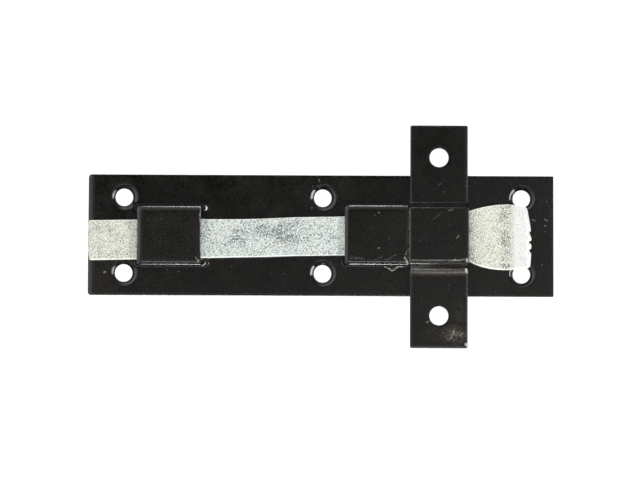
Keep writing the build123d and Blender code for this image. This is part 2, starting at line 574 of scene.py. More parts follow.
@dataclass(frozen=True)
class Bead:
    """A ridge of torn metal or chipped paint along a short path, fine at its ends.

    Its ends have a share of its radius, and are set a share of the path into the round of the taper.
    """

    name: str
    path: tuple[Place, ...]
    radius: float
    rough: float = 0.25
    end_radius: float = 0.15
    end_inset: float = 0.02
    bluntness: float = 0.6
    heading_reach: float = 0.05
    sides: int = 10
    rings_per_run: int = 6

    def _sample(self, place: float) -> Vector:
        """Finds a point of the smooth curve through the path.

        Args:
            place: the number of the path's point, with a fraction.

        Returns:
            The point of the curve.
        """
        points = [Vector(point) for point in self.path]
        index = min(int(place), len(points) - 2)
        t = place - index
        before, start = points[max(index - 1, 0)], points[index]
        end, after = points[index + 1], points[min(index + 2, len(points) - 1)]
        return (
            start * 2
            + (end - before) * t
            + (before * 2 - start * 5 + end * 4 - after) * t**2
            + (start * 3 - before - end * 3 + after) * t**3
        ) / 2

    def build(self) -> bpy.types.Object:
        """Builds the ridge as a closed mesh.

        Returns:
            The object, with a rim attribute that is 1 on its crest.
        """
        mesh = bmesh.new()
        rim_layer = mesh.verts.layers.float.new("rim")
        runs = len(self.path) - 1
        places = spread(0.0, runs, runs * self.rings_per_run)
        rows = []
        for place in places:
            middle = self._sample(place)
            after = self._sample(min(place + self.heading_reach, runs))
            ahead = after - self._sample(max(place - self.heading_reach, 0.0))
            side = ahead.cross(Vector((0, 0, 1))).normalized()
            up = side.cross(ahead).normalized()
            turn = self.end_inset + (1 - 2 * self.end_inset) * place / runs
            taper = self.end_radius + (1 - self.end_radius) * math.sin(math.pi * turn) ** self.bluntness
            row = []
            for number in range(self.sides):
                angle = math.tau * number / self.sides
                out = side * math.cos(angle) + up * math.sin(angle)
                rough = 1 + self.rough * noise.noise((middle + out * self.radius) / self.radius)
                row.append(mesh.verts.new(middle + out * self.radius * taper * rough))
                row[-1][rim_layer] = clamp(math.sin(angle))
            rows.append(row)
        join_rows(mesh, rows)
        for row in (rows[0], rows[-1]):
            mesh.faces.new(row)
        bmesh.ops.recalc_face_normals(mesh, faces=mesh.faces)
        return finish_mesh(self.name, mesh)


def attach(piece: bpy.types.Object, body: Body, material: bpy.types.Material) -> None:
    """Gives a piece its body and its material, and reports it.

    Args:
        piece: the new piece.
        body: the body that it rides on.
        material: its material.
    """
    piece.data.materials.clear()
    piece.data.materials.append(material)
    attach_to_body(piece, body.value)
    LOG.info("%s rides on %s, %d faces", piece.name, body.value, len(piece.data.polygons))


@dataclass(frozen=True)
class Mark:
    """A stroke on an upward face from one place in the plan to another, or a speck at one place: scratches
    and chips, and some painted highlight lines and painted shade.
    """

    start: Point
    end: Point
    width: float
    strength: float


def stroke(start: Point, end: Point, width: float, strength: float) -> Mark:
    """A stroke whose two ends and width are given in millimetres."""
    return Mark(in_plan(*start), in_plan(*end), width * MM, strength)


def speck(x: float, y: float, width: float, strength: float) -> Mark:
    """A speck whose place and width are given in millimetres."""
    return stroke((x, y), (x, y), width, strength)


@dataclass(frozen=True)
class ScuffAndSheen:
    """A pale, rough patch on an upward face: abraded paint, and on the keeper's foot bend also a painted
    highlight. It has its middle, its half sizes, its strength and how full it is.
    """

    middle: Point
    reach: Point
    strength: float
    fill: float = 0.0


class NodeTree:
    """Adds shader nodes to a material or a world and links them."""

    # A speck is whole within its radius over this, and a mark within this share of its width.
    SPECK_CORE = 3
    MARK_CORE = 0.3
    # The upward parts of the normals between which a face begins to count as looking up.
    UPWARD = (0.25, 0.5)
    # Keeps the length of a speck's path, which is nothing, out of the sum that divides by it.
    SHORTEST_SQUARED = 1e-12

    def __init__(self, tree: bpy.types.NodeTree) -> None:
        """Takes the tree and empties it."""
        self.tree = tree
        self.tree.nodes.clear()

    def add(self, kind: str, inputs: dict | None = None, **settings: object) -> bpy.types.Node:
        """Adds one node.

        Args:
            kind: the node's type, without its first words.
            inputs: its inputs by name or number, each a value or a socket to link.
            settings: the node's own settings.

        Returns:
            The new node.
        """
        node = self.tree.nodes.new("ShaderNode" + kind)
        for name, value in settings.items():
            setattr(node, name, value)
        for name, value in (inputs or {}).items():
            if isinstance(value, Socket):
                self.tree.links.new(value, node.inputs[name])
            else:
                node.inputs[name].default_value = value
        return node

    def math(self, operation: str, *values: object, clamped: bool = False) -> Socket:
        """The result of a sum on numbers or sockets."""
        node = self.add("Math", dict(enumerate(values)), operation=operation, use_clamp=clamped)
        return node.outputs[0]

    def vector(self, operation: str, *values: object, output: int = 0) -> Socket:
        """The result of a sum on vectors, with output 1 for a plain number."""
        return self.add("VectorMath", dict(enumerate(values)), operation=operation).outputs[output]

    def ramp(
        self, value: object, low: float, high: float, start: object = 0.0, end: object = 1.0
    ) -> Socket:
        """A smooth change from start to end while a value goes from low to high."""
        inputs = {"Value": value, "From Min": low, "From Max": high, "To Min": start, "To Max": end}
        return self.add("MapRange", inputs, interpolation_type="SMOOTHSTEP").outputs[0]

    def hump(self, value: object, middle: float, reach: float, height: float = 1.0) -> Socket:
        """A smooth rise and fall round a middle value."""
        away = self.math("ABSOLUTE", self.math("SUBTRACT", value, middle))
        return self.ramp(away, 0.0, reach, height, 0.0)

    def noise(self, vector: object, size: float, detail: float = 2.0, distortion: float = 0.0) -> Socket:
        """Cloudy noise whose features have a size in metres."""
        inputs = {"Vector": vector, "Scale": 1 / size, "Detail": detail, "Distortion": distortion}
        return self.add("TexNoise", inputs, noise_dimensions="3D").outputs["Fac"]

    def mix(self, share: object, first: object, second: object) -> Socket:
        """Mixes two colours.

        Args:
            share: how much of the second colour there is.
            first: the first colour, as three numbers or a socket.
            second: the second colour.

        Returns:
            The mixed colour.
        """
        node = self.add("Mix", data_type="RGBA")
        # Of the node's inputs, 0 is the share of any type, and 6 and 7 are the two colours.
        for socket, value in ((node.inputs[0], share), (node.inputs[6], first), (node.inputs[7], second)):
            if isinstance(value, Socket):
                self.tree.links.new(value, socket)
            else:
                socket.default_value = value if isinstance(value, float) else (*value, 1.0)
        return node.outputs[2]

    def bump(self, height: object, distance: float, normal: Socket | None = None) -> Socket:
        """A normal tilted by a relief of a depth in metres."""
        inputs = {"Height": height, "Distance": distance, "Strength": 1.0}
        return self.add("Bump", inputs | ({"Normal": normal} if normal else {})).outputs[0]

    def object_point(self) -> Socket:
        """The shaded point in the object's own frame."""
        return self.add("TexCoord").outputs["Object"]

    def rim(self) -> Socket:
        """How near the shaded point is to an edge of its piece."""
        return self.add("Attribute", attribute_name="rim").outputs["Fac"]

    def specks(self, point: Socket, size: float, share: float, radius: float) -> tuple[Socket, Socket]:
        """Sows round specks.

        Args:
            point: the shaded point.
            size: how far apart the places for a speck are.
            share: how many of the places have one.
            radius: a speck's radius, as a share of the size.

        Returns:
            1 on the specks, and the same with a strength of its own for each speck.
        """
        cells = self.add("TexVoronoi", {"Vector": point, "Scale": 1 / size, "Randomness": 1.0})
        chance = self.add("SeparateColor", {0: cells.outputs["Color"]})
        chosen = self.math("LESS_THAN", chance.outputs[0], share)
        round_spot = self.ramp(cells.outputs["Distance"], radius / self.SPECK_CORE, radius, 1.0, 0.0)
        spots = self.math("MULTIPLY", round_spot, chosen)
        return spots, self.math("MULTIPLY", spots, chance.outputs[1])

    def warped_plan(self, point: Socket, size: float, reach: float) -> Socket:
        """Shifts the point's place in the plan a little this way and that.

        Args:
            point: the shaded point.
            size: how far apart the places are at which the shift differs.
            reach: the length of twice the greatest shift.

        Returns:
            The shifted place.
        """
        wander = self.add("TexNoise", {"Vector": point, "Scale": 1 / size, "Detail": 2.0}).outputs["Color"]
        centred = self.vector("SUBTRACT", wander, (0.5, 0.5, 0.5))
        shift = self.vector("MULTIPLY", centred, (reach, reach, 0.0))
        return self.vector("ADD", self.vector("MULTIPLY", point, (1.0, 1.0, 0.0)), shift)

    def facing_up(self) -> Socket:
        """1 on faces that look up, 0 on the sides and the back."""
        upward = self.add("SeparateXYZ", {0: self.add("NewGeometry").outputs["Normal"]}).outputs[2]
        return self.ramp(upward, *self.UPWARD)

    def marks(self, plan: Socket, marks: Iterable[Mark]) -> Socket:
        """Draws the strokes and specks of the marks.

        Args:
            plan: the shaded point's place in the plan.
            marks: the marks.

        Returns:
            How strongly the point is marked.
        """
        total = self.math("ADD", 0.0, 0.0)
        for mark in marks:
            along = Vector((*mark.end, 0.0)) - Vector((*mark.start, 0.0))
            offset = self.vector("SUBTRACT", plan, (*mark.start, 0.0))
            measure = tuple(along / max(along.length_squared, self.SHORTEST_SQUARED))
            covered = self.vector("DOT_PRODUCT", offset, measure, output=1)
            share = self.math("ADD", covered, 0.0, clamped=True)
            nearest = self.add("VectorMath", {0: tuple(along), 3: share}, operation="SCALE").outputs[0]
            distance = self.vector("DISTANCE", offset, nearest, output=1)
            core = self.MARK_CORE * mark.width
            total = self.math("MAXIMUM", total, self.ramp(distance, core, mark.width, mark.strength, 0.0))
        return total

    def scuffs_and_sheens(self, plan: Socket, grain: Socket, scuffs_and_sheens: Iterable[ScuffAndSheen]) -> Socket:
        """Lays pale, rough patches: abraded paint, and some painted highlights.

        Args:
            plan: the shaded point's place in the plan.
            grain: what breaks the patches up, from 0 to 1.
            scuffs_and_sheens: the patches.

        Returns:
            How strongly the point is rubbed.
        """
        total = self.math("ADD", 0.0, 0.0)
        for scuff_and_sheen in scuffs_and_sheens:
            offset = self.vector("SUBTRACT", plan, (*scuff_and_sheen.middle, 0.0))
            scaled = self.vector("MULTIPLY", offset, (1 / scuff_and_sheen.reach[0], 1 / scuff_and_sheen.reach[1], 0.0))
            near = self.ramp(self.vector("LENGTH", scaled, output=1), 0.0, 1.0, scuff_and_sheen.strength, 0.0)
            broken = self.ramp(grain, 0.0, 1.0, scuff_and_sheen.fill, 1.0)
            total = self.math("MAXIMUM", total, self.math("MULTIPLY", near, broken))
        return total


def new_material(name: str) -> tuple[bpy.types.Material, NodeTree]:
    """Makes an empty material with nodes.

    Args:
        name: the material's name.

    Returns:
        The material and its nodes.
    """
    material = bpy.data.materials.new(name)
    material.use_nodes = True
    return material, NodeTree(material.node_tree)


@dataclass(frozen=True)
class BlackPaint:
    """Black gloss stoving paint with peel, dust, strokes and pale patches, some of them painted highlights,
    and edges lightened by wear and by a painted highlight.

    A span holds the two limits between which a noise takes effect, and often what it then goes between.
    The gloss play is how far the roughness falls below its own value and rises above it.
    """

    colour: Colour = (0.0042, 0.0038, 0.0030)
    # Colour of the lightened edges: wear, and a painted highlight.
    worn_and_sheen_colour: Colour = (0.075, 0.070, 0.062)
    # Colour of the pale patches: abraded paint, and on the keeper's foot bend a painted highlight.
    scuff_and_sheen_colour: Colour = (0.17, 0.145, 0.118)
    # Light colour of the marks: scratches and chips, and some painted highlight lines.
    mark_and_highlight_colour: Colour = (0.42, 0.41, 0.39)
    dust_colour: Colour = (0.16, 0.15, 0.13)
    roughness: float = 0.15
    worn_roughness: float = 0.5
    gloss_play: Point = (0.04, 0.05)
    index: float = 1.5
    peel_size: float = 1.4 * MM
    peel_height: float = 0.0016 * MM
    grain_size: float = 0.45 * MM
    grain_height: float = 0.0009 * MM
    grain_span: Span = (0.32, 0.68, 0.1, 2.1)
    cloud_size: float = 14 * MM
    cloud_span: Span = (0.35, 0.65, 0.8, 1.2)
    smear_size: float = 5 * MM
    smear_span: Span = (0.3, 0.7)
    dust_size: float = 2.4 * MM
    dust_share: float = 0.2
    nib_radius: float = 0.09
    nib_height: float = 0.03 * MM
    speck_size: float = 0.85 * MM
    speck_share: float = 0.3
    speck_radius: float = 0.22
    speck_strength: float = 0.16
    wander_size: float = 0.8 * MM
    wander_reach: float = 0.5 * MM
    breakup_size: float = 0.8 * MM
    edge_wear_and_sheen: float = 0.35
    edge_span: Span = (0.50, 0.64)
    mark_span: Span = (0.35, 0.55, 0.35, 1.0)
    vein_size: float = 1.7 * MM
    vein_twist: float = 1.2
    vein_middle: float = 0.5
    vein_half: float = 0.055
    patch_size: float = 0.75 * MM
    patch_span: Span = (0.44, 0.60, 0.1, 0.6)
    marks: tuple[Mark, ...] = ()
    scuffs_and_sheens: tuple[ScuffAndSheen, ...] = ()

    def _dust(self, tree: NodeTree, point: Socket) -> tuple[Socket, Socket]:
        """Sows dust nibs over the paint.

        Args:
            tree: the material's nodes.
            point: the shaded point.

        Returns:
            The nibs' relief, and how pale the point is with dust.
        """
        nib, pale = tree.specks(point, self.dust_size, self.dust_share, self.nib_radius)
        faint = tree.specks(point, self.speck_size, self.speck_share, self.speck_radius)[1]
        return nib, tree.math("MAXIMUM", pale, tree.math("MULTIPLY", faint, self.speck_strength))

    def _breakup(self, tree: NodeTree, point: Socket) -> Socket:
        """Draws the fine veins and coarse patches by which a pale patch shows.

        Args:
            tree: the material's nodes.
            point: the shaded point.

        Returns:
            How far the paint would be rubbed through there.
        """
        twisted = tree.noise(point, self.vein_size, detail=3.0, distortion=self.vein_twist)
        veins = tree.hump(twisted, self.vein_middle, self.vein_half)
        patches = tree.ramp(tree.noise(point, self.patch_size, detail=4.0), *self.patch_span)
        return tree.math("MAXIMUM", veins, patches)

    def _black(self, tree: NodeTree, point: Socket, grain: Socket) -> Socket:
        """Mixes the black, which is a little uneven.

        Args:
            tree: the material's nodes.
            point: the shaded point.
            grain: the paint's fine grain.

        Returns:
            The colour of sound paint.
        """
        cloud = tree.ramp(tree.noise(point, self.cloud_size, detail=2.0), *self.cloud_span)
        tone = tree.math("MULTIPLY", cloud, tree.ramp(grain, *self.grain_span))
        tones = tree.add("CombineXYZ", {0: tone, 1: tone, 2: tone}).outputs[0]
        return tree.vector("MULTIPLY", self.colour, tones)

    def build(self, name: str) -> bpy.types.Material:
        """Builds the material.

        Args:
            name: the material's name.

        Returns:
            The new material.
        """
        material, tree = new_material(name)
        point = tree.object_point()
        plan = tree.warped_plan(point, self.wander_size, self.wander_reach)
        upward = tree.facing_up()

        breakup = tree.noise(point, self.breakup_size, detail=4.0)
        # Lighter paint along the edges: partly wear, partly a painted highlight.
        paled_edge = tree.math("MULTIPLY", tree.ramp(breakup, *self.edge_span), tree.rim())
        worn_and_sheen = tree.math("MULTIPLY", paled_edge, self.edge_wear_and_sheen)
        patches = tree.scuffs_and_sheens(plan, self._breakup(tree, point), self.scuffs_and_sheens)
        scuffed_and_sheen = tree.math("MULTIPLY", patches, upward)
        marked = tree.math("MULTIPLY", tree.marks(plan, self.marks), upward)
        marked = tree.math("MULTIPLY", marked, tree.ramp(breakup, *self.mark_span))
        nib, dust = self._dust(tree, point)

        grain = tree.noise(point, self.grain_size, detail=2.0)
        colour = tree.mix(worn_and_sheen, self._black(tree, point, grain), self.worn_and_sheen_colour)
        colour = tree.mix(scuffed_and_sheen, colour, self.scuff_and_sheen_colour)
        colour = tree.mix(marked, tree.mix(dust, colour, self.dust_colour), self.mark_and_highlight_colour)

        smear = tree.noise(point, self.smear_size, detail=3.0)
        least, most = self.roughness - self.gloss_play[0], self.roughness + self.gloss_play[1]
        gloss = tree.ramp(smear, *self.smear_span, least, most)
        dulled = tree.math("MAXIMUM", worn_and_sheen, scuffed_and_sheen)
        rough = tree.math("ADD", gloss, tree.math("MULTIPLY", dulled, self.worn_roughness - self.roughness))

        relief = tree.bump(tree.noise(point, self.peel_size), self.peel_height)
        relief = tree.bump(grain, self.grain_height, relief)
        relief = tree.bump(tree.math("ADD", nib, marked), self.nib_height, relief)
        inputs = {"Base Color": colour, "Roughness": rough, "Normal": relief, "IOR": self.index}
        shader = tree.add("BsdfPrincipled", inputs)
        tree.add("OutputMaterial", {"Surface": shader.outputs[0]})
        return material


@dataclass(frozen=True)
class ZincPlate:
    """Dull zinc over rough steel: a fine stipple of dark grains on white, clouded and tinted, with painted
    shade and painted highlights.

    A band holds its middle along or across the bar, its reach and how much closer the grains stand in it,
    which paints shade there. A span holds the two limits between which a noise takes effect, and what it
    then goes between.
    """

    white: Colour = (0.79, 0.80, 0.765)
    grey: Colour = (0.40, 0.42, 0.40)
    # Painted highlight colour, mixed in along the bar's edges and over the lip.
    highlight_colour: Colour = (0.96, 0.96, 0.94)
    grain: Colour = (0.09, 0.105, 0.125)
    beige: Colour = (1.03, 0.99, 0.93)
    blue: Colour = (0.93, 0.99, 1.04)
    hue_size: float = 0.6 * MM
    hue_span: Span = (0.38, 0.62)
    pit: Colour = (0.09, 0.10, 0.12)
    pit_size: float = 0.52 * MM
    pit_share: float = 0.62
    pit_radius: float = 0.32
    warm: Colour = (0.98, 0.97, 0.885)
    cool: Colour = (0.955, 0.99, 0.985)
    untinted: Colour = (1.0, 1.0, 1.0)
    metallic: float = 0.12
    roughness: float = 0.5
    grain_roughness: float = 0.25
    rough_span: Span = (0.36, 0.46)
    relief: float = 0.04 * MM
    grain_size: float = 0.37 * MM
    grain_share: float = 0.6
    grain_span: Span = (0.35, 0.44, 1.0, 0.0)
    dash_size: float = 0.34 * MM
    dash_stretch: float = 0.35
    dash_angle: float = math.radians(42)
    dash_share: float = 0.4
    mottle_size: float = 0.31 * MM
    mottle_span: Span = (0.36, 0.54)
    # How far the bar's edges are painted with the highlight colour.
    rim_highlight_span: Span = (0.35, 0.9, 0.0, 0.75)
    cloud_size: float = 5.0 * MM
    cloud_span: Span = (0.40, 0.68, -0.02, 0.03)
    patch_size: float = 3.5 * MM
    patch_span: Span = (0.38, 0.60, 0.5, 1.6)
    # Painted shade: closer grains round the bow's crease in the middle of the bar, in the lip's bend and in
    # the keeper's shadow on the neck, and a little over the whole middle between the staples.
    bow_shade_along: Span = (-14.0 * MM, 23 * MM)
    bow_shade_across: Span = (0.5 * MM, 6 * MM, 0.06)
    crease_shade_band: Span = (59.5 * MM, 3.2 * MM, 0.045)
    keeper_shadow_band: Span = (48 * MM, 2.4 * MM, 0.05)
    nose_end: float = -58 * MM
    middle_start: Span = (nose_end, nose_end + 16 * MM)
    middle_end: Span = (46 * MM, 40 * MM)
    middle_shade: float = 0.018
    lip_start: float = 62.0 * MM
    lip_span: Span = (lip_start - 1.5 * MM, lip_start + 1.0 * MM)
    # The lip is painted lighter: fewer dark grains, and the highlight colour mixed in.
    lip_clearing: float = 0.035
    lip_highlight: float = 0.48
    wander_size: float = 0.9 * MM
    wander_reach: float = 0.7 * MM
    mark_span: Span = (0.58, 0.44)
    marks: tuple[Mark, ...] = (
        # The first three dark strokes lie across the bow's crease and paint its shade.
        stroke((-14.4, -1.3), (-7.4, 4.4), 0.45, 0.8),
        stroke((-13.0, -2.6), (-9.5, 0.4), 0.4, 0.5),
        stroke((-11.6, 3.4), (-9.8, 1.6), 0.4, 0.5),
        stroke((2.6, -2.2), (4.2, 1.2), 0.4, 0.5),
    )

    def _shade_and_clouds(self, tree: NodeTree, point: Socket) -> Socket:
        """Works out where the dark grains stand closer together: in random clouds, and as painted shade
        round the bow's crease, in the lip's bend, in the keeper's shadow and between the staples.

        Args:
            tree: the material's nodes.
            point: the shaded point.

        Returns:
            How far the grain's limit is raised there.
        """
        along, across, _ = tree.add("SeparateXYZ", {0: point}).outputs
        clouds = tree.ramp(tree.noise(point, self.cloud_size), *self.cloud_span)
        bow_shade_length = tree.hump(along, *self.bow_shade_along)
        middle = tree.math("MULTIPLY", bow_shade_length, tree.hump(across, *self.bow_shade_across))
        patchy = tree.ramp(tree.noise(point, self.patch_size), *self.patch_span)
        crease = tree.math("MULTIPLY", tree.hump(along, *self.crease_shade_band), patchy)
        ends = tree.math("ADD", crease, tree.hump(along, *self.keeper_shadow_band))
        shaded = tree.math("MULTIPLY", self._middle(tree, along), self.middle_shade)
        return tree.math("ADD", tree.math("ADD", clouds, shaded), tree.math("ADD", middle, ends))

    def _middle(self, tree: NodeTree, along: Socket) -> Socket:
        """1 between the staples, 0 towards both ends of the bar."""
        start = tree.ramp(along, *self.middle_start)
        return tree.math("MULTIPLY", start, tree.ramp(along, *self.middle_end))

    def _dashes(self, tree: NodeTree, point: Socket, angle: float) -> Socket:
        """Draws short dashes.

        Args:
            tree: the material's nodes.
            point: the shaded point.
            angle: how far they slant to the bar.

        Returns:
            The dashes as noise.
        """
        turned = tree.add("VectorRotate", {"Vector": point, "Angle": angle}, rotation_type="Z_AXIS")
        stretched = tree.vector("MULTIPLY", turned.outputs[0], (self.dash_stretch, 1.0, 1.0))
        return tree.noise(stretched, self.dash_size, detail=1.0)

    def build(self, name: str) -> bpy.types.Material:
        """Builds the material.

        Args:
            name: the material's name.

        Returns:
            The new material.
        """
        material, tree = new_material(name)
        point = tree.object_point()
        along = tree.add("SeparateXYZ", {0: point}).outputs[0]
        lip = tree.ramp(along, *self.lip_span)

        stipple = tree.noise(point, self.grain_size, detail=2.0)
        leaning = [self._dashes(tree, point, angle) for angle in (self.dash_angle, -self.dash_angle)]
        dashes = tree.math("MULTIPLY", tree.math("MINIMUM", *leaning), self.dash_share)
        texture = tree.math("ADD", tree.math("MULTIPLY", stipple, self.grain_share), dashes)
        clearing = tree.math("MULTIPLY", lip, self.lip_clearing)
        share = tree.math("SUBTRACT", texture, tree.math("SUBTRACT", self._shade_and_clouds(tree, point), clearing))

        mottle = tree.ramp(tree.noise(point, self.mottle_size, detail=1.5), *self.mottle_span)
        colour = tree.mix(mottle, self.grey, self.white)
        colour = tree.mix(tree.ramp(share, *self.grain_span), colour, self.grain)
        plan = tree.warped_plan(point, self.wander_size, self.wander_reach)
        marked = tree.math("MULTIPLY", tree.marks(plan, self.marks), tree.facing_up())
        marked = tree.math("MULTIPLY", marked, tree.ramp(stipple, *self.mark_span))
        colour = tree.mix(marked, colour, self.grain)
        # Painted highlights along the bar's edges and over the lip.
        colour = tree.mix(tree.ramp(tree.rim(), *self.rim_highlight_span), colour, self.highlight_colour)
        colour = tree.mix(tree.math("MULTIPLY", lip, self.lip_highlight), colour, self.highlight_colour)
        pit = tree.specks(point, self.pit_size, self.pit_share, self.pit_radius)[1]
        colour = tree.mix(pit, colour, self.pit)
        tint = tree.mix(self._middle(tree, along), self.warm, self.cool)
        colour = tree.vector("MULTIPLY", colour, tree.mix(lip, tint, self.untinted))
        hue = tree.ramp(tree.noise(point, self.hue_size, detail=2.0), *self.hue_span)
        colour = tree.vector("MULTIPLY", colour, tree.mix(hue, self.beige, self.blue))

        dull_grain = self.roughness + self.grain_roughness
        rough = tree.ramp(share, *self.rough_span, dull_grain, self.roughness)
        relief = tree.bump(share, self.relief)
        inputs = {"Base Color": colour, "Roughness": rough, "Metallic": self.metallic, "Normal": relief}
        shader = tree.add("BsdfPrincipled", inputs)
        tree.add("OutputMaterial", {"Surface": shader.outputs[0]})
        return material


@dataclass
class Staple:
    """A U strap over the bar, its legs hammered over at the back of the plate.

    The growth is how much longer along the plate it is than its solid, at its front and its rear. It
    leans and spreads the more, the higher above the plate it is.
    """

    node: str
    width: float = 20.2 * MM
    thickness: float = 1.3 * MM
    shoulder_tilt: float = math.radians(30)
    shoulder_bend: float = 3.0 * MM
    side_bend: float = 1.0 * MM
    growth: Point = (0.1 * MM, 0.35 * MM)
    lean: float = -0.54 * MM
    spread: float = 0.22 * MM
    inner_bend: float = 0.7 * MM
    inner_half: float = 8.15 * MM
    waist: float = 0.25 * MM
    peen_height: float = 0.9 * MM
    peen_bevel: float = 0.4 * MM
    peen_play: float = 0.1 * MM
    front_roll: Roll = Roll(1.15 * MM, 0.48 * MM, 0.12 * MM, 1.15)
    rear_roll: Roll = Roll(0.35 * MM, 0.05 * MM)
    end_roll: Roll = Roll(0.1 * MM, 0.01 * MM, 0.05 * MM)
    back_roll: Roll = Roll(0.1 * MM, 0.01 * MM, 0.08 * MM)
    corner: float = 0.15 * MM
    wave: float = 0.003 * MM
    bend_steps: int = 12
    paint: BlackPaint = BlackPaint()

    @property
    def front(self) -> float:
        """Where the strap starts along the plate."""
        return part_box(self.node)[0].x

    @property
    def side(self) -> float:
        """How far the staple sits to one side of the plate's middle."""
        low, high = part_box(self.node)
        return (low.y + high.y) / 2

    @property
    def leg_middle(self) -> float:
        """Half the distance between the middles of the legs."""
        return self.inner_half + self.thickness / 2

    def _outer_line(self, top: float) -> BentLine:
        """Draws the outer face: a tight bend at each side and a wide one at each shoulder.

        Args:
            top: the height of the crown.

        Returns:
            The line from one leg's end to the other's.
        """
        outer = self.inner_half + self.thickness
        side_cut = self.side_bend * math.tan((math.pi / 2 - self.shoulder_tilt) / 2)
        slope = side_cut + self.shoulder_bend * math.tan(self.shoulder_tilt / 2)
        shoulder = outer - slope * math.cos(self.shoulder_tilt)
        corner = top - slope * math.sin(self.shoulder_tilt)
        half = [(-outer, 0.0), (-outer, corner), (-shoulder, top)]
        bends = [self.side_bend, self.shoulder_bend]
        return BentLine(half + [(-y, z) for y, z in reversed(half)], bends + bends[::-1])

    def build(self) -> bpy.types.Object:
        """Builds and dresses the strap.

        Returns:
            The strap.
        """
        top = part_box(self.node)[1].z
        outside = self._outer_line(top)
        under = top - self.thickness
        inner = self.inner_half
        corners = [(-inner, 0.0), (-inner, under), (inner, under), (inner, 0.0)]
        inside = BentLine(corners, [self.inner_bend] * 2)
        bend_start, bend_end = inside.stops[1:3]
        bend_middle = bend_start + (bend_end - bend_start) * (1 - self.shoulder_tilt / (math.pi / 2))
        inner_stops = [0.0, bend_start, bend_middle, bend_middle, bend_end]
        inner_stops += [inside.length - stop for stop in reversed(inner_stops)]
        half = (self.width + sum(self.growth)) / 2
        middle, side = self.front - self.growth[0] + half, self.side
        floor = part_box("backplate")[1].z
        crown_half = self.inner_half + self.thickness - self.shoulder_bend / 2
        peen_stops = (self.peen_height, outside.length - self.peen_height)

        def inner_distance(distance: float) -> float:
            """Finds the place on the inner face that lies behind a place on the outer face.

            Args:
                distance: the distance along the outer face.

            Returns:
                The distance along the inner face.
            """
            for index in range(len(outside.stops) - 1):
                start, end = outside.stops[index], outside.stops[index + 1]
                if distance <= end:
                    part = (distance - start) / (end - start) if end > start else 0.0
                    return inner_stops[index] + (inner_stops[index + 1] - inner_stops[index]) * part
            return inside.length

        def place(u: float, v: float, height: float) -> Vector:
            """Bends the strap round the bar and spreads its hammered ends.

            Args:
                u: the distance along the plate from the strap's middle.
                v: the distance along the outer face.
                height: the height above the inner face.

            Returns:
                The point in the frame.
            """
            point, normal = outside.at(v)
            behind, _ = inside.at(inner_distance(v))
            share = height / self.thickness
            end = min(v, outside.length - v)
            flare = clamp(1 - end / self.peen_height) * (self.peen_bevel + self.peen_play)
            across = behind.lerp(point, share) + normal * (2 * share - 1) * flare
            drawn = 0.0
            if point.y > top - self.shoulder_bend:
                drawn = self.waist * max(0.0, 1 - (across.x / crown_half) ** 2)
            risen = clamp((across.y - floor) / (top - floor))
            y = across.x * (1 + self.spread * risen / crown_half) + self.lean * risen
            return Vector((middle + u * (1 - drawn / half), side + y, across.y))

        sheet = Sheet(
            (-half, half),
            (0.0, outside.length),
            self.thickness,
            place,
            low_u=self.front_roll,
            high_u=self.rear_roll,
            low_v=self.end_roll,
            high_v=self.end_roll,
            back=self.back_roll,
            corners=(self.corner, self.corner),
            wave=self.wave,
            v_stops=[*outside.bend_stops(self.bend_steps), *peen_stops],
        )
        piece = sheet.build(f"{self.node}_strap")
        attach(piece, Body.PLATE, self.paint.build(f"{self.node}_paint"))
        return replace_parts(piece, self.node)


FRONT_STAPLE = Staple(
    "front_staple",
    paint=BlackPaint(
        # Lighter than the rear staple's paint of the same finish: painted light on this staple.
        colour=(0.0065, 0.0060, 0.0050),
        marks=(
            # The first two strokes are a painted highlight down the strap's rear edge on its +Y side.
            stroke((-38.85, 8.6), (-38.85, 5.6), 0.3, 0.55),
            stroke((-38.85, 5.6), (-38.95, 3.6), 0.25, 0.25),
            stroke((-40.2, -7.5), (-39.3, -8.9), 0.28, 0.35),
            stroke((-39.6, -8.4), (-39.1, -8.6), 0.28, 0.45),
            speck(-51.4, 5.1, 0.3, 0.12),
        )
    ),
)
REAR_STAPLE = Staple(
    "rear_staple",
    growth=(0.2 * MM, 0.13 * MM),
    lean=-0.45 * MM,
    spread=0.33 * MM,
    waist=0.08 * MM,
    paint=BlackPaint(
        marks=(
            speck(18.6, 7.15, 0.4, 0.3),
            speck(18.6, -4.3, 0.4, 0.35),
            stroke((17.6, -8.0), (19.5, -7.1), 0.25, 0.09),
            stroke((20.9, -8.1), (24.1, -6.4), 0.25, 0.12),
            stroke((9.6, -7.4), (13.4, -7.6), 0.4, 0.1),
            stroke((27.2, -6.4), (27.4, -5.1), 0.3, 0.25),
            stroke((26.9, -7.4), (27.9, -9.2), 0.45, 0.7),
        )
    ),
)


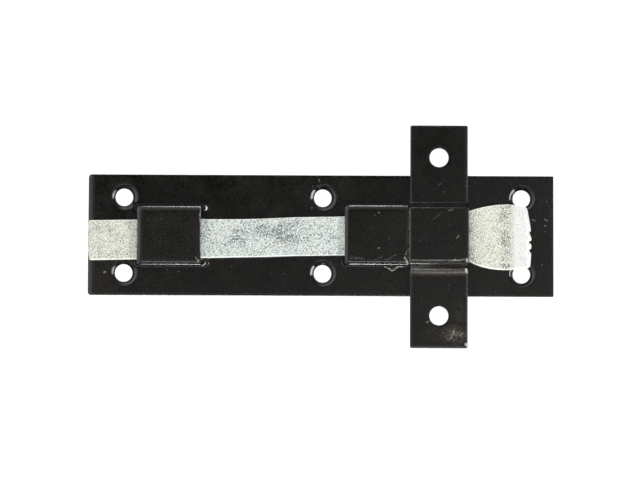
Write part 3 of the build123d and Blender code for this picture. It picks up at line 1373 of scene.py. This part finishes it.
@dataclass
class Backplate:
    """The flat plate with its six countersunk holes and four slots, half closed by run paint.

    A lip is the width and height of the metal raised along a slot, a web is a skin of run paint in a
    slot's end, and the plays are how much longer than a staple a slot is in front of it and behind it.
    """

    node: str = "backplate"
    front_corner: float = 1.0 * MM
    rear_corner: float = 0.4 * MM
    front_roll: Roll = Roll(1.55 * MM, 0.54 * MM, 0.1 * MM, 1.15)
    side_roll: Roll = Roll(0.8 * MM, 0.07 * MM, 0.12 * MM)
    rear_roll: Roll = Roll(0.4 * MM, 0.05 * MM, 0.12 * MM)
    screw_radius: float = 2.85 * MM
    screw_rounding: float = 0.06 * MM
    sink_radius: float = 4.25 * MM
    sink_rounding: float = 0.8 * MM
    sink_shift: Point = (0.27 * MM, 0.04 * MM)
    sink_tilt: float = math.radians(28.5)
    throat_width: float = 0.54 * MM
    throat_rounding: float = 0.02 * MM
    throat_tilt: float = math.radians(48)
    screw_side: float = 12.25 * MM
    screw_columns: Span = (-63.7 * MM, 0.45 * MM, 64.6 * MM)
    slot_radius: float = 0.75 * MM
    slot_bevel: float = 0.4 * MM
    slot_lip: Point = (0.7 * MM, 0.19 * MM)
    left_slot_lip: Point = (0.7 * MM, 0.07 * MM)
    slot_margin: float = 0.75 * MM
    slot_front_play: float = 0.5 * MM
    slot_rear_play: float = 2.2 * MM
    web_depth: float = 0.45 * MM
    left_web_depth: float = 0.03 * MM
    web_sag: float = 0.08 * MM
    web_thickness: float = 0.35 * MM
    web_overlap: float = 0.05 * MM
    web_tip_share: float = 0.01
    web_corner: float = 0.01 * MM
    web_roll: Roll = Roll(0.1 * MM, 0.0, 0.02 * MM)
    web_end_steps: int = 6
    web_steps: int = 8
    open_end: float = 0.42 * MM
    front_growth: float = 0.12 * MM
    left_growth: float = 0.15 * MM
    # Grey paint with a pale crest: partly bare metal, partly a painted highlight on the burr and the curl.
    burr_paint: BlackPaint = BlackPaint((0.10, 0.097, 0.09), (0.6, 0.58, 0.54), edge_wear_and_sheen=0.9)
    burrs: tuple[Bead, ...] = (
        Bead(
            "slot_burr",
            (
                in_frame(20.3, -9.85, 2.02),
                in_frame(21.5, -10.15, 2.12),
                in_frame(22.9, -11.0, 2.22),
                in_frame(23.8, -10.5, 2.28),
                in_frame(24.8, -9.9, 2.22),
                in_frame(27.2, -9.75, 2.05),
            ),
            0.43 * MM,
        ),
        Bead(
            "slot_curl",
            (
                in_frame(-38.9, -9.8, 2.02),
                in_frame(-38.2, -9.8, 2.06),
                in_frame(-37.6, -9.5, 2.06),
                in_frame(-37.2, -8.9, 1.95),
                in_frame(-37.2, -8.2, 1.95),
            ),
            0.24 * MM,
            0.5,
        ),
    )
    paint: BlackPaint = BlackPaint(
        marks=(
            stroke((68.2, 5.45), (69.0, 5.15), 0.3, 0.32),
            speck(68.1, 4.4, 0.28, 0.15),
            stroke((72.3, 5.55), (73.1, 5.05), 0.3, 0.3),
            stroke((72.2, 3.6), (72.5, 3.55), 0.38, 0.28),
            speck(72.8, 11.4, 0.3, 0.4),
            speck(71.3, -9.0, 0.3, 0.2),
            stroke((-69.9, -12.2), (-69.4, -11.9), 0.35, 0.45),
            stroke((-0.9, 18.3), (-0.5, 17.6), 0.3, 0.3),
            stroke((-0.7, 15.8), (-0.4, 15.6), 0.3, 0.25),
            speck(-2.8, 15.9, 0.3, 0.3),
            speck(-2.9, 9.0, 0.3, 0.3),
            stroke((-49.5, -11.2), (-49.4, -11.2), 0.25, 0.2),
            stroke((-45.8, -11.8), (-45.7, -11.8), 0.25, 0.2),
        ),
        scuffs_and_sheens=(ScuffAndSheen(in_plan(-72.0, -14.0), in_plan(8.0, 10.0), 0.035, 1.0),),
    )

    def _screw_holes(self, thickness: float) -> list[Hole]:
        """Lays out the six screw holes.

        Args:
            thickness: the plate's thickness.

        Returns:
            The holes, each with its countersink.
        """
        throat = self.screw_radius + self.throat_width
        throat_top = thickness - (self.sink_radius - throat) * math.tan(self.sink_tilt)
        throat_end = throat_top - self.throat_width * math.tan(self.throat_tilt)
        profile = (
            (self.sink_radius, thickness, self.sink_rounding),
            (throat, throat_top, self.throat_rounding),
            (self.screw_radius, throat_end, self.screw_rounding),
            (self.screw_radius, 0.0, self.screw_rounding),
        )
        return [
            Hole(x, side * self.screw_side, profile, shift=self.sink_shift)
            for x in self.screw_columns
            for side in (-1, 1)
        ]

    def _slot_span(self, staple: Staple) -> Point:
        """Where a staple's slots start and end along the plate."""
        return staple.front - self.slot_front_play, staple.front + staple.width + self.slot_rear_play

    def _slots(self, thickness: float, staples: Sequence[Staple]) -> list[Hole]:
        """Lays out the two slots of each staple.

        Args:
            thickness: the plate's thickness.
            staples: the staples.

        Returns:
            The slots, with metal raised along their outer sides and a bevel at the back.
        """
        profile = (
            (self.slot_radius, thickness, self.screw_rounding),
            (self.slot_radius, self.slot_bevel, self.screw_rounding),
            (self.slot_radius + self.slot_bevel, 0.0, self.screw_rounding),
        )
        slots = []
        for staple in staples:
            low, high = self._slot_span(staple)
            straight = (high - low) / 2 - self.slot_radius
            for side in (-1, 1):
                across = staple.side + side * staple.leg_middle
                lip = self.left_slot_lip if side > 0 else self.slot_lip
                slot = Hole((low + high) / 2, across, profile, straight, self.slot_margin, lip, side)
                slots.append(slot)
        return slots

    def _add_web(
        self, name: str, low: float, high: float, across: float, face: float, depth: float
    ) -> None:
        """Stretches a skin of run paint across a slot, a little below the plate's face.

        Args:
            name: the name of the piece.
            low: where the skin starts along the plate.
            high: where it ends.
            across: the middle of the slot across the plate.
            face: the height of the plate's face.
            depth: how far below it the skin lies.
        """
        radius = self.slot_radius + self.web_overlap

        def place(u: float, v: float, height: float) -> Vector:
            """Rounds the skin's ends and lets its middle sag.

            Args:
                u: the distance along the plate.
                v: the distance from the slot's middle, as if the skin were even.
                height: the height above the skin's underside.

            Returns:
                The point in the frame.
            """
            past = max(low + radius - u, u - high + radius, 0.0)
            share = math.sqrt(max(1 - (past / radius) ** 2, self.web_tip_share))
            sag = self.web_sag * (1 - (v * share / radius) ** 2 - (past / radius) ** 2)
            return Vector((u, across + v * share, face - depth - sag + height))

        rolls = dict.fromkeys(("low_u", "high_u", "low_v", "high_v", "back"), self.web_roll)
        steps = self.web_end_steps
        sheet = Sheet(
            (low, high),
            (-radius, radius),
            self.web_thickness,
            place,
            **rolls,
            corners=(self.web_corner, self.web_corner),
            u_stops=spread(low, low + radius, steps) + spread(high - radius, high, steps),
            v_stops=spread(-radius, radius, self.web_steps),
            wave=0.0,
            rim_width=self.web_corner,
        )
        piece = sheet.build(name)
        attach(piece, Body.PLATE, self.paint.build(f"{name}_paint"))

    def _add_webs(self, staples: Sequence[Staple], face: float) -> None:
        """Closes both ends of each slot with run paint, but for one small gap.

        Args:
            staples: the staples whose legs fill the middles of the slots.
            face: the height of the plate's face.
        """
        for number, staple in enumerate(staples):
            low, high = self._slot_span(staple)
            overlap = 2 * self.slot_radius
            for side, hand in ((-1, "right"), (1, "left")):
                across = staple.side + side * staple.leg_middle
                gap = self.open_end if number == 0 and side == 1 else 0.0
                depth = self.web_depth if side < 0 else self.left_web_depth
                name = f"{staple.node}_{hand}_web"
                front_end = low + self.slot_front_play + overlap
                self._add_web(f"{name}_front", low, front_end, across, face, depth)
                start = high - self.slot_rear_play - overlap
                self._add_web(f"{name}_rear", start, high - gap, across, face, depth)

    def build(self, staples: Sequence[Staple]) -> bpy.types.Object:
        """Builds and dresses the plate.

        Args:
            staples: the staples whose legs go through it.

        Returns:
            The plate.
        """
        low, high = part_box(self.node)
        thickness = high.z - low.z
        self._add_webs(staples, high.z)
        sheet = Sheet(
            (low.x - self.front_growth, high.x),
            (low.y, high.y + self.left_growth),
            thickness,
            lambda u, v, height: Vector((u, v, low.z + height)),
            low_u=self.front_roll,
            high_u=self.rear_roll,
            low_v=self.side_roll,
            high_v=self.side_roll,
            corners=(self.front_corner, self.rear_corner),
            holes=self._screw_holes(thickness) + self._slots(thickness, staples),
        )
        piece = sheet.build("plate_sheet")
        attach(piece, Body.PLATE, self.paint.build("plate_paint"))
        for burr in self.burrs:
            burr_paint = self.burr_paint.build(f"{burr.name}_paint")
            attach(burr.build(), Body.PLATE, burr_paint)
        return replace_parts(piece, self.node)


@dataclass
class Keeper:
    """The loose strap with a raised middle and two plain holes.

    Its sides splay from the crown to the feet, and the one towards -Y ends in a short ledge and a toe.
    The bends are the radii of the upper face's bends, from that side's tip to the other. The bulges are
    how far the crown stands out past the feet, to the rear and to the front.
    """

    node: str = "keeper"
    thickness: float = 1.5 * MM
    crown_half: float = 8.95 * MM
    splay: float = math.radians(30.6)
    bends: Span = (3.0 * MM, 0.6 * MM, 0.04 * MM, 0.7 * MM, 0.35 * MM, 0.15 * MM)
    ledge_tilt: float = math.radians(6)
    ledge_run: float = 0.45 * MM
    toe_tilt: float = math.radians(17)
    toe_run: float = 0.7 * MM
    bulge: float = 0.25 * MM
    front_bulge: float = 0.5 * MM
    hole_edge: float = 0.26 * MM
    hole_edge_tilt: float = math.radians(48)
    hole_radius: float = 3.07 * MM
    hole_side: float = 25.55 * MM
    hole_rounding: float = 0.06 * MM
    front_roll: Roll = Roll(0.55 * MM, 0.2 * MM, 0.15 * MM, 1.3)
    side_roll: Roll = Roll(0.8 * MM, 0.22 * MM, 0.3 * MM)
    end_roll: Roll = Roll(0.7 * MM, 0.2 * MM, 0.12 * MM)
    corner: float = 0.6 * MM
    bend_steps: int = 8
    chip_paint: BlackPaint = BlackPaint(edge_wear_and_sheen=1.0, worn_and_sheen_colour=(0.6, 0.58, 0.54))
    chip: Bead = Bead(
        "keeper_chip",
        (
            in_frame(42.6, -8.15, 6.9),
            in_frame(43.4, -7.95, 7.0),
            in_frame(44.3, -8.15, 6.92),
            in_frame(45.2, -7.85, 6.95),
        ),
        0.24 * MM,
        0.6,
    )
    paint: BlackPaint = BlackPaint(
        colour=(0.0036, 0.0032, 0.0025),
        dust_share=0.35,
        scuffs_and_sheens=(
            ScuffAndSheen(in_plan(42.8, -31.9), in_plan(5.9, 4.2), 0.65),
            ScuffAndSheen(in_plan(44.6, -24.5), in_plan(3.4, 8.5), 0.12),
            ScuffAndSheen(in_plan(37.0, -31.8), in_plan(6.0, 3.6), 0.09),
            # The two bands along the -Y foot bend are paler and rougher, and their paler colour paints the
            # bend's highlight.
            ScuffAndSheen(in_plan(38.0, -11.85), in_plan(28.0, 1.5), 0.4, 0.4),
            ScuffAndSheen(in_plan(44.5, -11.8), in_plan(5.5, 1.1), 0.8, 0.2),
        ),
        marks=(
            # A painted highlight line along the crown's front edge.
            stroke((28.6, -8.7), (28.6, 8.6), 0.35, 0.13),
            stroke((34.1, -27.9), (34.8, -27.6), 0.4, 0.25),
            stroke((36.0, 4.9), (38.6, 7.2), 0.3, 0.07),
            stroke((41.0, 7.9), (42.3, 8.2), 0.3, 0.2),
            stroke((43.5, -1.0), (44.3, -0.1), 0.3, 0.25),
            stroke((37.9, 16.6), (38.6, 16.9), 0.35, 0.1),
            stroke((39.4, 14.1), (39.7, 14.3), 0.3, 0.12),
            stroke((41.9, -32.9), (43.0, -30.6), 0.4, 0.35),
            stroke((44.9, -31.9), (45.4, -31.4), 0.4, 0.35),
            # These two strokes along the crown's -Y edge are a painted highlight line.
            stroke((29.2, -8.2), (42.0, -8.15), 0.4, 0.26),
            stroke((42.0, -8.15), (46.9, -7.8), 0.5, 0.34),
            stroke((46.7, -34.9), (46.9, -35.2), 0.6, 1.0),
            stroke((46.75, -10.9), (46.85, -11.7), 0.6, 1.0),
            stroke((46.85, -7.6), (46.9, -8.5), 0.4, 1.0),
        ),
    )

    def _upper_line(self, tip: float, foot: float, foot_top: float, crown_top: float) -> BentLine:
        """Draws the upper face from the side.

        Args:
            tip: how far the strap's tips are from its middle.
            foot: how far from it the splayed sides would meet the feet.
            foot_top: the height of the feet's upper face.
            crown_top: the height of the crown's upper face.

        Returns:
            The line from the tip with the ledge and toe to the other tip.
        """
        toe_rise = self.toe_run * math.tan(self.toe_tilt)
        rise = toe_rise + self.ledge_run * math.tan(self.ledge_tilt)
        ledge = foot - rise * math.tan(self.splay)
        toe = ledge + self.ledge_run
        corners = [(-tip, foot_top), (-toe - self.toe_run, foot_top), (-toe, foot_top + toe_rise)]
        corners += [(-ledge, foot_top + rise), (-self.crown_half, crown_top)]
        corners += [(self.crown_half, crown_top), (foot, foot_top), (tip, foot_top)]
        return BentLine(corners, self.bends)

    def _holes(self, places: Iterable[float]) -> list[Hole]:
        """Lays out the two screw holes.

        Args:
            places: where they are along the strap.

        Returns:
            The holes, each with its broken outer edge.
        """
        edge_depth = self.hole_edge * math.tan(self.hole_edge_tilt)
        profile = (
            (self.hole_radius + self.hole_edge, self.thickness, self.hole_rounding),
            (self.hole_radius, self.thickness - edge_depth, self.hole_rounding),
            (self.hole_radius, 0.0, self.hole_rounding),
        )
        return [Hole(0.0, at, profile) for at in places]

    def build(self) -> bpy.types.Object:
        """Builds and dresses the keeper.

        Returns:
            The keeper.
        """
        low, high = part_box(self.node)
        half = (high.x - low.x) / 2 - self.bulge
        tip = (high.y - low.y) / 2
        foot_top = low.z + self.thickness
        foot = self.crown_half + (high.z - foot_top) * math.tan(self.splay)
        line = self._upper_line(tip, foot, foot_top, high.z)
        middle, side = (low.x + high.x) / 2, (low.y + high.y) / 2

        def place(u: float, v: float, height: float) -> Vector:
            """Bends the strap up and over, and bulges its sides at the crown.

            Args:
                u: the distance along the plate from the strap's middle.
                v: the distance along the strap.
                height: the height above its underside.

            Returns:
                The point in the frame.
            """
            point, normal = line.at(v)
            across = point - normal * (self.thickness - height)
            outward = foot + self.thickness - abs(across.x)
            bulged = clamp(outward / (foot - self.crown_half + self.thickness))
            bulged *= self.front_bulge if u < 0 else self.bulge
            return Vector((middle + u * (1 + bulged / half), side + across.x, across.y))

        hole_at = tip - self.hole_side
        sheet = Sheet(
            (-half, half),
            (0.0, line.length),
            self.thickness,
            place,
            low_u=self.front_roll,
            high_u=self.side_roll,
            low_v=self.end_roll,
            high_v=self.end_roll,
            corners=(self.corner, self.corner),
            v_stops=line.bend_stops(self.bend_steps),
            holes=self._holes((hole_at, line.length - hole_at)),
        )
        piece = sheet.build("keeper_strap")
        attach(piece, Body.PLATE, self.paint.build("keeper_paint"))
        chip_paint = self.chip_paint.build("chip_paint")
        attach(self.chip.build(), Body.PLATE, chip_paint)
        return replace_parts(piece, self.node)


@dataclass(frozen=True)
class Notch:
    """A saw-tooth notch in the end of the bar.

    It has a middle across the bar, a depth, and the widths of its sloping side and its steep face.
    """

    middle: float
    depth: float
    slope: float
    face: float = 0.35 * MM
    slope_steps: int = 3
    face_steps: int = 2

    def cut(self, y: float) -> float:
        """How deep the notch is at a place across the bar."""
        off = y - self.middle
        return self.depth * clamp(1 - (off / self.face if off > 0 else -off / self.slope))

    def stops(self) -> list[float]:
        """Places across the bar at which the grid needs a line."""
        sloping = spread(self.middle - self.slope, self.middle, self.slope_steps)
        return sloping + spread(self.middle, self.middle + self.face, self.face_steps)[1:]


@dataclass
class BoltBar:
    """The bowed bar and its upturned thumb piece, in the bar's own straight frame.

    Left is +Y, seen along the bar from its front end. A flare's two lengths are how far past the neck
    the guide points of its curve lie. The jog is a small step sideways, and the dent a shallow hollow in
    the left side.
    """

    node: str = "bolt_bar"
    side_shift: float = -0.4245 * MM
    front: float = -75.15 * MM
    nose_rise: float = 0.55 * MM
    nose_run: float = 3 * nose_rise + MM
    nose_line: float = 2 * MM
    nose_half: float = 6.4 * MM
    half: float = 6.2 * MM
    thickness: float = 2.3 * MM
    under: float = 2.15 * MM
    bow: float = 0.8 * MM
    bow_at: float = -12.55 * MM
    bow_radius: float = 400 * MM
    dent: float = 0.26 * MM
    dent_middle: float = -26 * MM
    dent_reach: float = 20 * MM
    jog: float = 0.16 * MM
    jog_length: float = 10 * MM
    neck: float = 28.7 * MM
    head_start: float = 47.6 * MM
    head_end: float = 67.6 * MM
    head_neck: float = 5.6 * MM
    head_left: float = 9.5 * MM
    head_right: float = 11.6 * MM
    left_flare: Point = (4.0 * MM, 8.0 * MM)
    right_flare: Point = (4.6 * MM, 5.4 * MM)
    lip_angle: float = math.radians(34.0)
    lip_bend: float = 4.0 * MM
    lip_length: float = 7.2 * MM
    lip_corner: float = 0.9 * MM
    lip_left_taper: float = 1.2 * MM
    lip_right_taper: float = 0.4 * MM
    lip_slant: float = 1.35 * MM
    slant_power: float = 1.1
    lip_bulge: float = 0.6 * MM
    bulge_power: float = 2
    bend_steps: int = 8
    flare_halvings: int = 30
    notches: tuple[Notch, ...] = (
        Notch(0.2 * MM, 0.75 * MM, 2.2 * MM),
        Notch(-3.0 * MM, 0.95 * MM, 1.2 * MM),
        Notch(-5.75 * MM, 0.8 * MM, 1.6 * MM),
    )
    notch_run: float = 2.5 * MM
    front_roll: Roll = Roll(0.7 * MM, 0.35 * MM, 0.3 * MM)
    lip_roll: Roll = Roll(0.4 * MM, 0.08 * MM, 0.15 * MM)
    side_roll: Roll = Roll(0.45 * MM, 0.08 * MM, 0.3 * MM)
    grid_step: float = 0.6 * MM
    wave: float = 0.05 * MM
    wave_size: float = 4 * MM
    rim_width: float = 0.5 * MM
    zinc: ZincPlate = ZincPlate()

    def _flare(self, x: float, start: float, end: float, handles: Point) -> float:
        """Works out the half width of the flaring neck.

        Args:
            x: the place along the bar.
            start: the half width before the flare.
            end: the half width after it.
            handles: how far past the neck the guide points of the curve lie.

        Returns:
            The half width at that place.
        """
        neck = self.head_start - self.head_neck
        wide = self.head_end - self.lip_length
        if x <= neck:
            return start
        if x >= wide:
            return end
        guides = (neck, neck + handles[0], neck + handles[1], wide)
        low, high = 0.0, 1.0
        for _ in range(self.flare_halvings):
            t = (low + high) / 2
            weights = ((1 - t) ** 3, 3 * t * (1 - t) ** 2, 3 * t**2 * (1 - t), t**3)
            if sum(weight * guide for weight, guide in zip(weights, guides)) < x:
                low = t
            else:
                high = t
        return start + (end - start) * (weights[2] + weights[3])

    def _half_width(self, x: float, left: bool) -> float:
        """Works out the distance of one side of the bar from its middle line.

        Args:
            x: the place along the bar.
            left: True for the side towards +Y.

        Returns:
            The distance, with the jog, the flare and the taper of the lip.
        """
        share = clamp((x - self.front) / (self.bow_at - self.front))
        body = self.nose_half + (self.half - self.nose_half) * share
        wide = self.head_left if left else self.head_right
        width = self._flare(x, body, wide, self.left_flare if left else self.right_flare)
        taper = self.lip_left_taper if left else self.lip_right_taper
        end = self.head_end - (self.lip_slant if left else self.lip_bulge) * math.cos(self.lip_angle)
        tapered = (x - self.head_end + self.lip_length) / (end - self.head_end + self.lip_length)
        width -= taper * clamp(tapered)
        corner = min(x - (end - self.lip_corner), self.lip_corner)
        if corner > 0:
            width -= self.lip_corner - math.sqrt(self.lip_corner**2 - corner**2)
        dented = clamp(1 - abs(x - self.dent_middle) / self.dent_reach)
        if left:
            width -= self.dent * dented * dented * (3 - 2 * dented)
        step = self.jog * (clamp((x - self.bow_at) / self.jog_length + 0.5) - 0.5)
        fade = 1 - clamp((x - self.head_start + self.head_neck) / self.head_neck)
        return width + (step if left else -step) * fade

    def _end_cut(self, y: float) -> float:
        """Works out how far the end of the lip is cut back.

        Args:
            y: the distance from the bar's middle line.

        Returns:
            The depth of the end's slant or bulge there, with that of a notch.
        """
        if y > 0:
            share = clamp(y / (self.head_left - self.lip_left_taper))
            cut = self.lip_slant * share**self.slant_power
        else:
            share = clamp(-y / (self.head_right - self.lip_right_taper))
            cut = self.lip_bulge * share**self.bulge_power
        return cut + max(notch.cut(y) for notch in self.notches)

    def _spine(self) -> BentLine:
        """Draws the bar's upper face from the side.

        Returns:
            The line from the nose to the end of the lip.
        """
        top = self.under + self.thickness
        out, rise = self.lip_length * math.cos(self.lip_angle), self.lip_length * math.sin(self.lip_angle)
        lip_start = self.head_end - self.thickness * math.sin(self.lip_angle) - out
        points = [
            (self.front, top),
            (self.bow_at, top + self.bow),
            (self.neck, top),
            (lip_start, top),
            (lip_start + out, top + rise),
        ]
        return BentLine(points, [self.bow_radius, self.bow_radius, self.lip_bend])

    def build(self) -> bpy.types.Object:
        """Builds and dresses the bar.

        Returns:
            The bar.
        """
        line = self._spine()
        axis = Vector(frame["joints"][0]["axis"])
        turn = Matrix.Rotation(math.atan2(axis.y, axis.x), 4, "Z")
        lie = Matrix.Translation((0, self.side_shift, 0)) @ turn

        def place(u: float, v: float, height: float) -> Vector:
            """Gives the bar its outline, bow, lip and lie.

            Args:
                u: the distance along the bar.
                v: the distance from its middle line, as if it were even.
                height: the height above its underside.

            Returns:
                The point in the frame.
            """
            point, _ = line.at(u)
            y = v / self.half * self._half_width(point.x, v > 0)
            nose = self.nose_rise * (v / self.half) ** 2 * clamp(1 - u / self.nose_run)
            cut = self._end_cut(y) * clamp(1 - (line.length - u) / self.notch_run)
            point, normal = line.at(clamp(u + nose - cut, 0.0, line.length))
            spot = point - normal * (self.thickness - height)
            y = v / self.half * self._half_width(spot.x, v > 0)
            return lie @ Vector((spot.x, y, spot.y))

        stops = [line.length - self.notch_run, line.length - self.notch_run / 2, self.nose_line]
        scale = self.half / (self.head_right - self.lip_right_taper)
        notches = [stop * scale for notch in self.notches for stop in notch.stops()]
        sheet = Sheet(
            (0.0, line.length),
            (-self.half, self.half),
            self.thickness,
            place,
            step=self.grid_step,
            low_u=self.front_roll,
            high_u=self.lip_roll,
            low_v=self.side_roll,
            high_v=self.side_roll,
            u_stops=stops + spread(line.stops[-3], line.stops[-2], self.bend_steps),
            v_stops=notches,
            wave=self.wave,
            wave_size=self.wave_size,
            rim_width=self.rim_width,
        )
        piece = sheet.build("bar")
        attach(piece, Body.BOLT, self.zinc.build("zinc_plate"))
        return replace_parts(piece, self.node)


@dataclass(frozen=True)
class Softbox:
    """A soft lamp: its azimuth and elevation in degrees, its size, its brightness and its distance."""

    name: str
    azimuth: float
    elevation: float
    size: Point
    brightness: float
    distance: float = 0.9

    def add(self) -> None:
        """Hangs the lamp."""
        light = bpy.data.lights.new(self.name, "AREA")
        light.shape = "RECTANGLE"
        light.size, light.size_y = self.size
        light.energy = self.brightness * math.pi * self.size[0] * self.size[1]
        lamp = bpy.data.objects.new(self.name, light)
        turn, rise = math.radians(self.azimuth), math.radians(self.elevation)
        level = math.cos(rise)
        away = Vector((math.sin(turn) * level, -math.cos(turn) * level, math.sin(rise)))
        lamp.location = away * self.distance
        lamp.rotation_mode = "QUATERNION"
        lamp.rotation_quaternion = away.to_track_quat("Z", "Y")
        lamp.visible_camera = False
        bpy.context.scene.collection.objects.link(lamp)


@dataclass
class Studio:
    """The floor, the lamps, the world and the camera. Azimuth 0 is -Y, the front, and 90 is +X.

    The world's light is the sky, lighter overhead between the zenith span's heights, with a glow low on
    one side and a small dark gap round the gap's direction.
    """

    aim: Place = in_frame(-0.32, -1.39, 2.0)
    tilt: float = math.radians(4.6)
    roll: float = math.radians(0.26)
    distance: float = 1.0
    focal_pixels: float = 3101.0
    picture_width: float = 640.0
    sensor: float = 36.0
    floor_radius: float = 3.0
    floor_sides: int = 96
    floor_gap: float = 0.02 * MM
    floor_glow: float = 0.93
    floor_grey: float = 0.30
    sky: float = 0.26
    glow: float = 2.1
    glow_direction: Place = (-0.85, 0.45, 0.0)
    glow_side: Span = (-0.15, 0.8)
    glow_height: Span = (0.52, 0.56)
    zenith_sky: float = 0.60
    zenith_span: Span = (0.80, 0.95)
    gap_sky: float = 0.02
    gap_direction: Place = (-0.05, 0.205, 0.975)
    gap_inner: float = math.radians(5.5)
    gap_outer: float = math.radians(10.0)
    lamps: tuple[Softbox, ...] = (
        Softbox("front_low", -1.3, 14, (0.14, 0.15), 84.0),
        Softbox("front_high", 0, 61, (0.60, 0.06), 9.0),
        Softbox("right_mid", 78, 33, (0.65, 0.19), 14.0),
        Softbox("back_low", 181.3, 15, (0.14, 0.13), 52.0),
    )

    def add_camera(self) -> None:
        """Sets the camera over the plate, as far tilted and turned as in the photograph."""
        data = bpy.data.cameras.new("camera")
        data.sensor_width = self.sensor
        data.lens = self.focal_pixels * self.sensor / self.picture_width
        camera = bpy.data.objects.new("camera", data)
        back = Vector((0.0, -math.sin(self.tilt), math.cos(self.tilt)))
        turn = back.to_track_quat("Z", "Y").to_matrix().to_4x4()
        place = Matrix.Translation(Vector(self.aim) + back * self.distance)
        camera.matrix_world = place @ turn @ Matrix.Rotation(self.roll, 4, "Z")
        bpy.context.scene.collection.objects.link(camera)
        bpy.context.scene.camera = camera

    def add_floor(self) -> None:
        """Lays the white floor, which is pale in itself and still takes the object's shadow."""
        mesh = bmesh.new()
        bmesh.ops.create_circle(mesh, cap_ends=True, segments=self.floor_sides, radius=self.floor_radius)
        data = bpy.data.meshes.new("floor")
        mesh.to_mesh(data)
        mesh.free()
        floor = bpy.data.objects.new("floor", data)
        floor.location.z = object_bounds()[0].z - self.floor_gap
        bpy.context.scene.collection.objects.link(floor)
        material, tree = new_material("floor_white")
        path = tree.add("LightPath")
        seen = tree.math("MAXIMUM", path.outputs["Is Camera Ray"], path.outputs["Is Glossy Ray"])
        grey = (self.floor_grey, self.floor_grey, self.floor_grey, 1.0)
        diffuse = tree.add("BsdfDiffuse", {"Color": grey})
        emission = tree.add("Emission", {"Strength": tree.math("MULTIPLY", seen, self.floor_glow)})
        both = tree.add("AddShader", {0: diffuse.outputs[0], 1: emission.outputs[0]})
        tree.add("OutputMaterial", {"Surface": both.outputs[0]})
        data.materials.append(material)
        floor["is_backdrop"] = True

    def add_world(self) -> None:
        """Sets a white background and an even light from all round, with a dark gap overhead."""
        world = bpy.data.worlds.new("studio")
        bpy.context.scene.world = world
        world.use_nodes = True
        tree = NodeTree(world.node_tree)
        direction = tree.add("TexCoord").outputs["Generated"]
        towards_gap = tuple(Vector(self.gap_direction).normalized())
        closeness = tree.vector("DOT_PRODUCT", direction, towards_gap, output=1)
        height = tree.add("SeparateXYZ", {0: direction}).outputs[2]
        sideways = tree.vector("DOT_PRODUCT", direction, self.glow_direction, output=1)
        glowing = tree.ramp(sideways, *self.glow_side, 0.0, self.glow)
        glow = tree.math("MULTIPLY", glowing, tree.hump(height, *self.glow_height))
        sky = tree.math("ADD", tree.ramp(height, *self.zenith_span, self.sky, self.zenith_sky), glow)
        sky = tree.ramp(closeness, math.cos(self.gap_outer), math.cos(self.gap_inner), sky, self.gap_sky)
        seen = tree.add("LightPath").outputs["Is Camera Ray"]
        background = tree.add("Background", {"Strength": tree.math("MAXIMUM", sky, seen)})
        tree.add("OutputWorld", {"Surface": background.outputs[0]})

    def build(self) -> None:
        """Builds the whole studio."""
        self.add_camera()
        self.add_floor()
        self.add_world()
        for lamp in self.lamps:
            lamp.add()
        bpy.context.scene.view_settings.view_transform = "Standard"
        LOG.info("studio: camera, floor and %d lamps", len(self.lamps))


def main() -> None:
    """Builds the pieces in order."""
    logging.basicConfig(level=logging.INFO, format="%(name)s: %(message)s")
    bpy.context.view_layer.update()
    staples = [FRONT_STAPLE, REAR_STAPLE]
    Backplate().build(staples)
    for staple in staples:
        staple.build()
    BoltBar().build()
    Keeper().build()
    Studio().build()


if __name__ == "__main__":
    main()
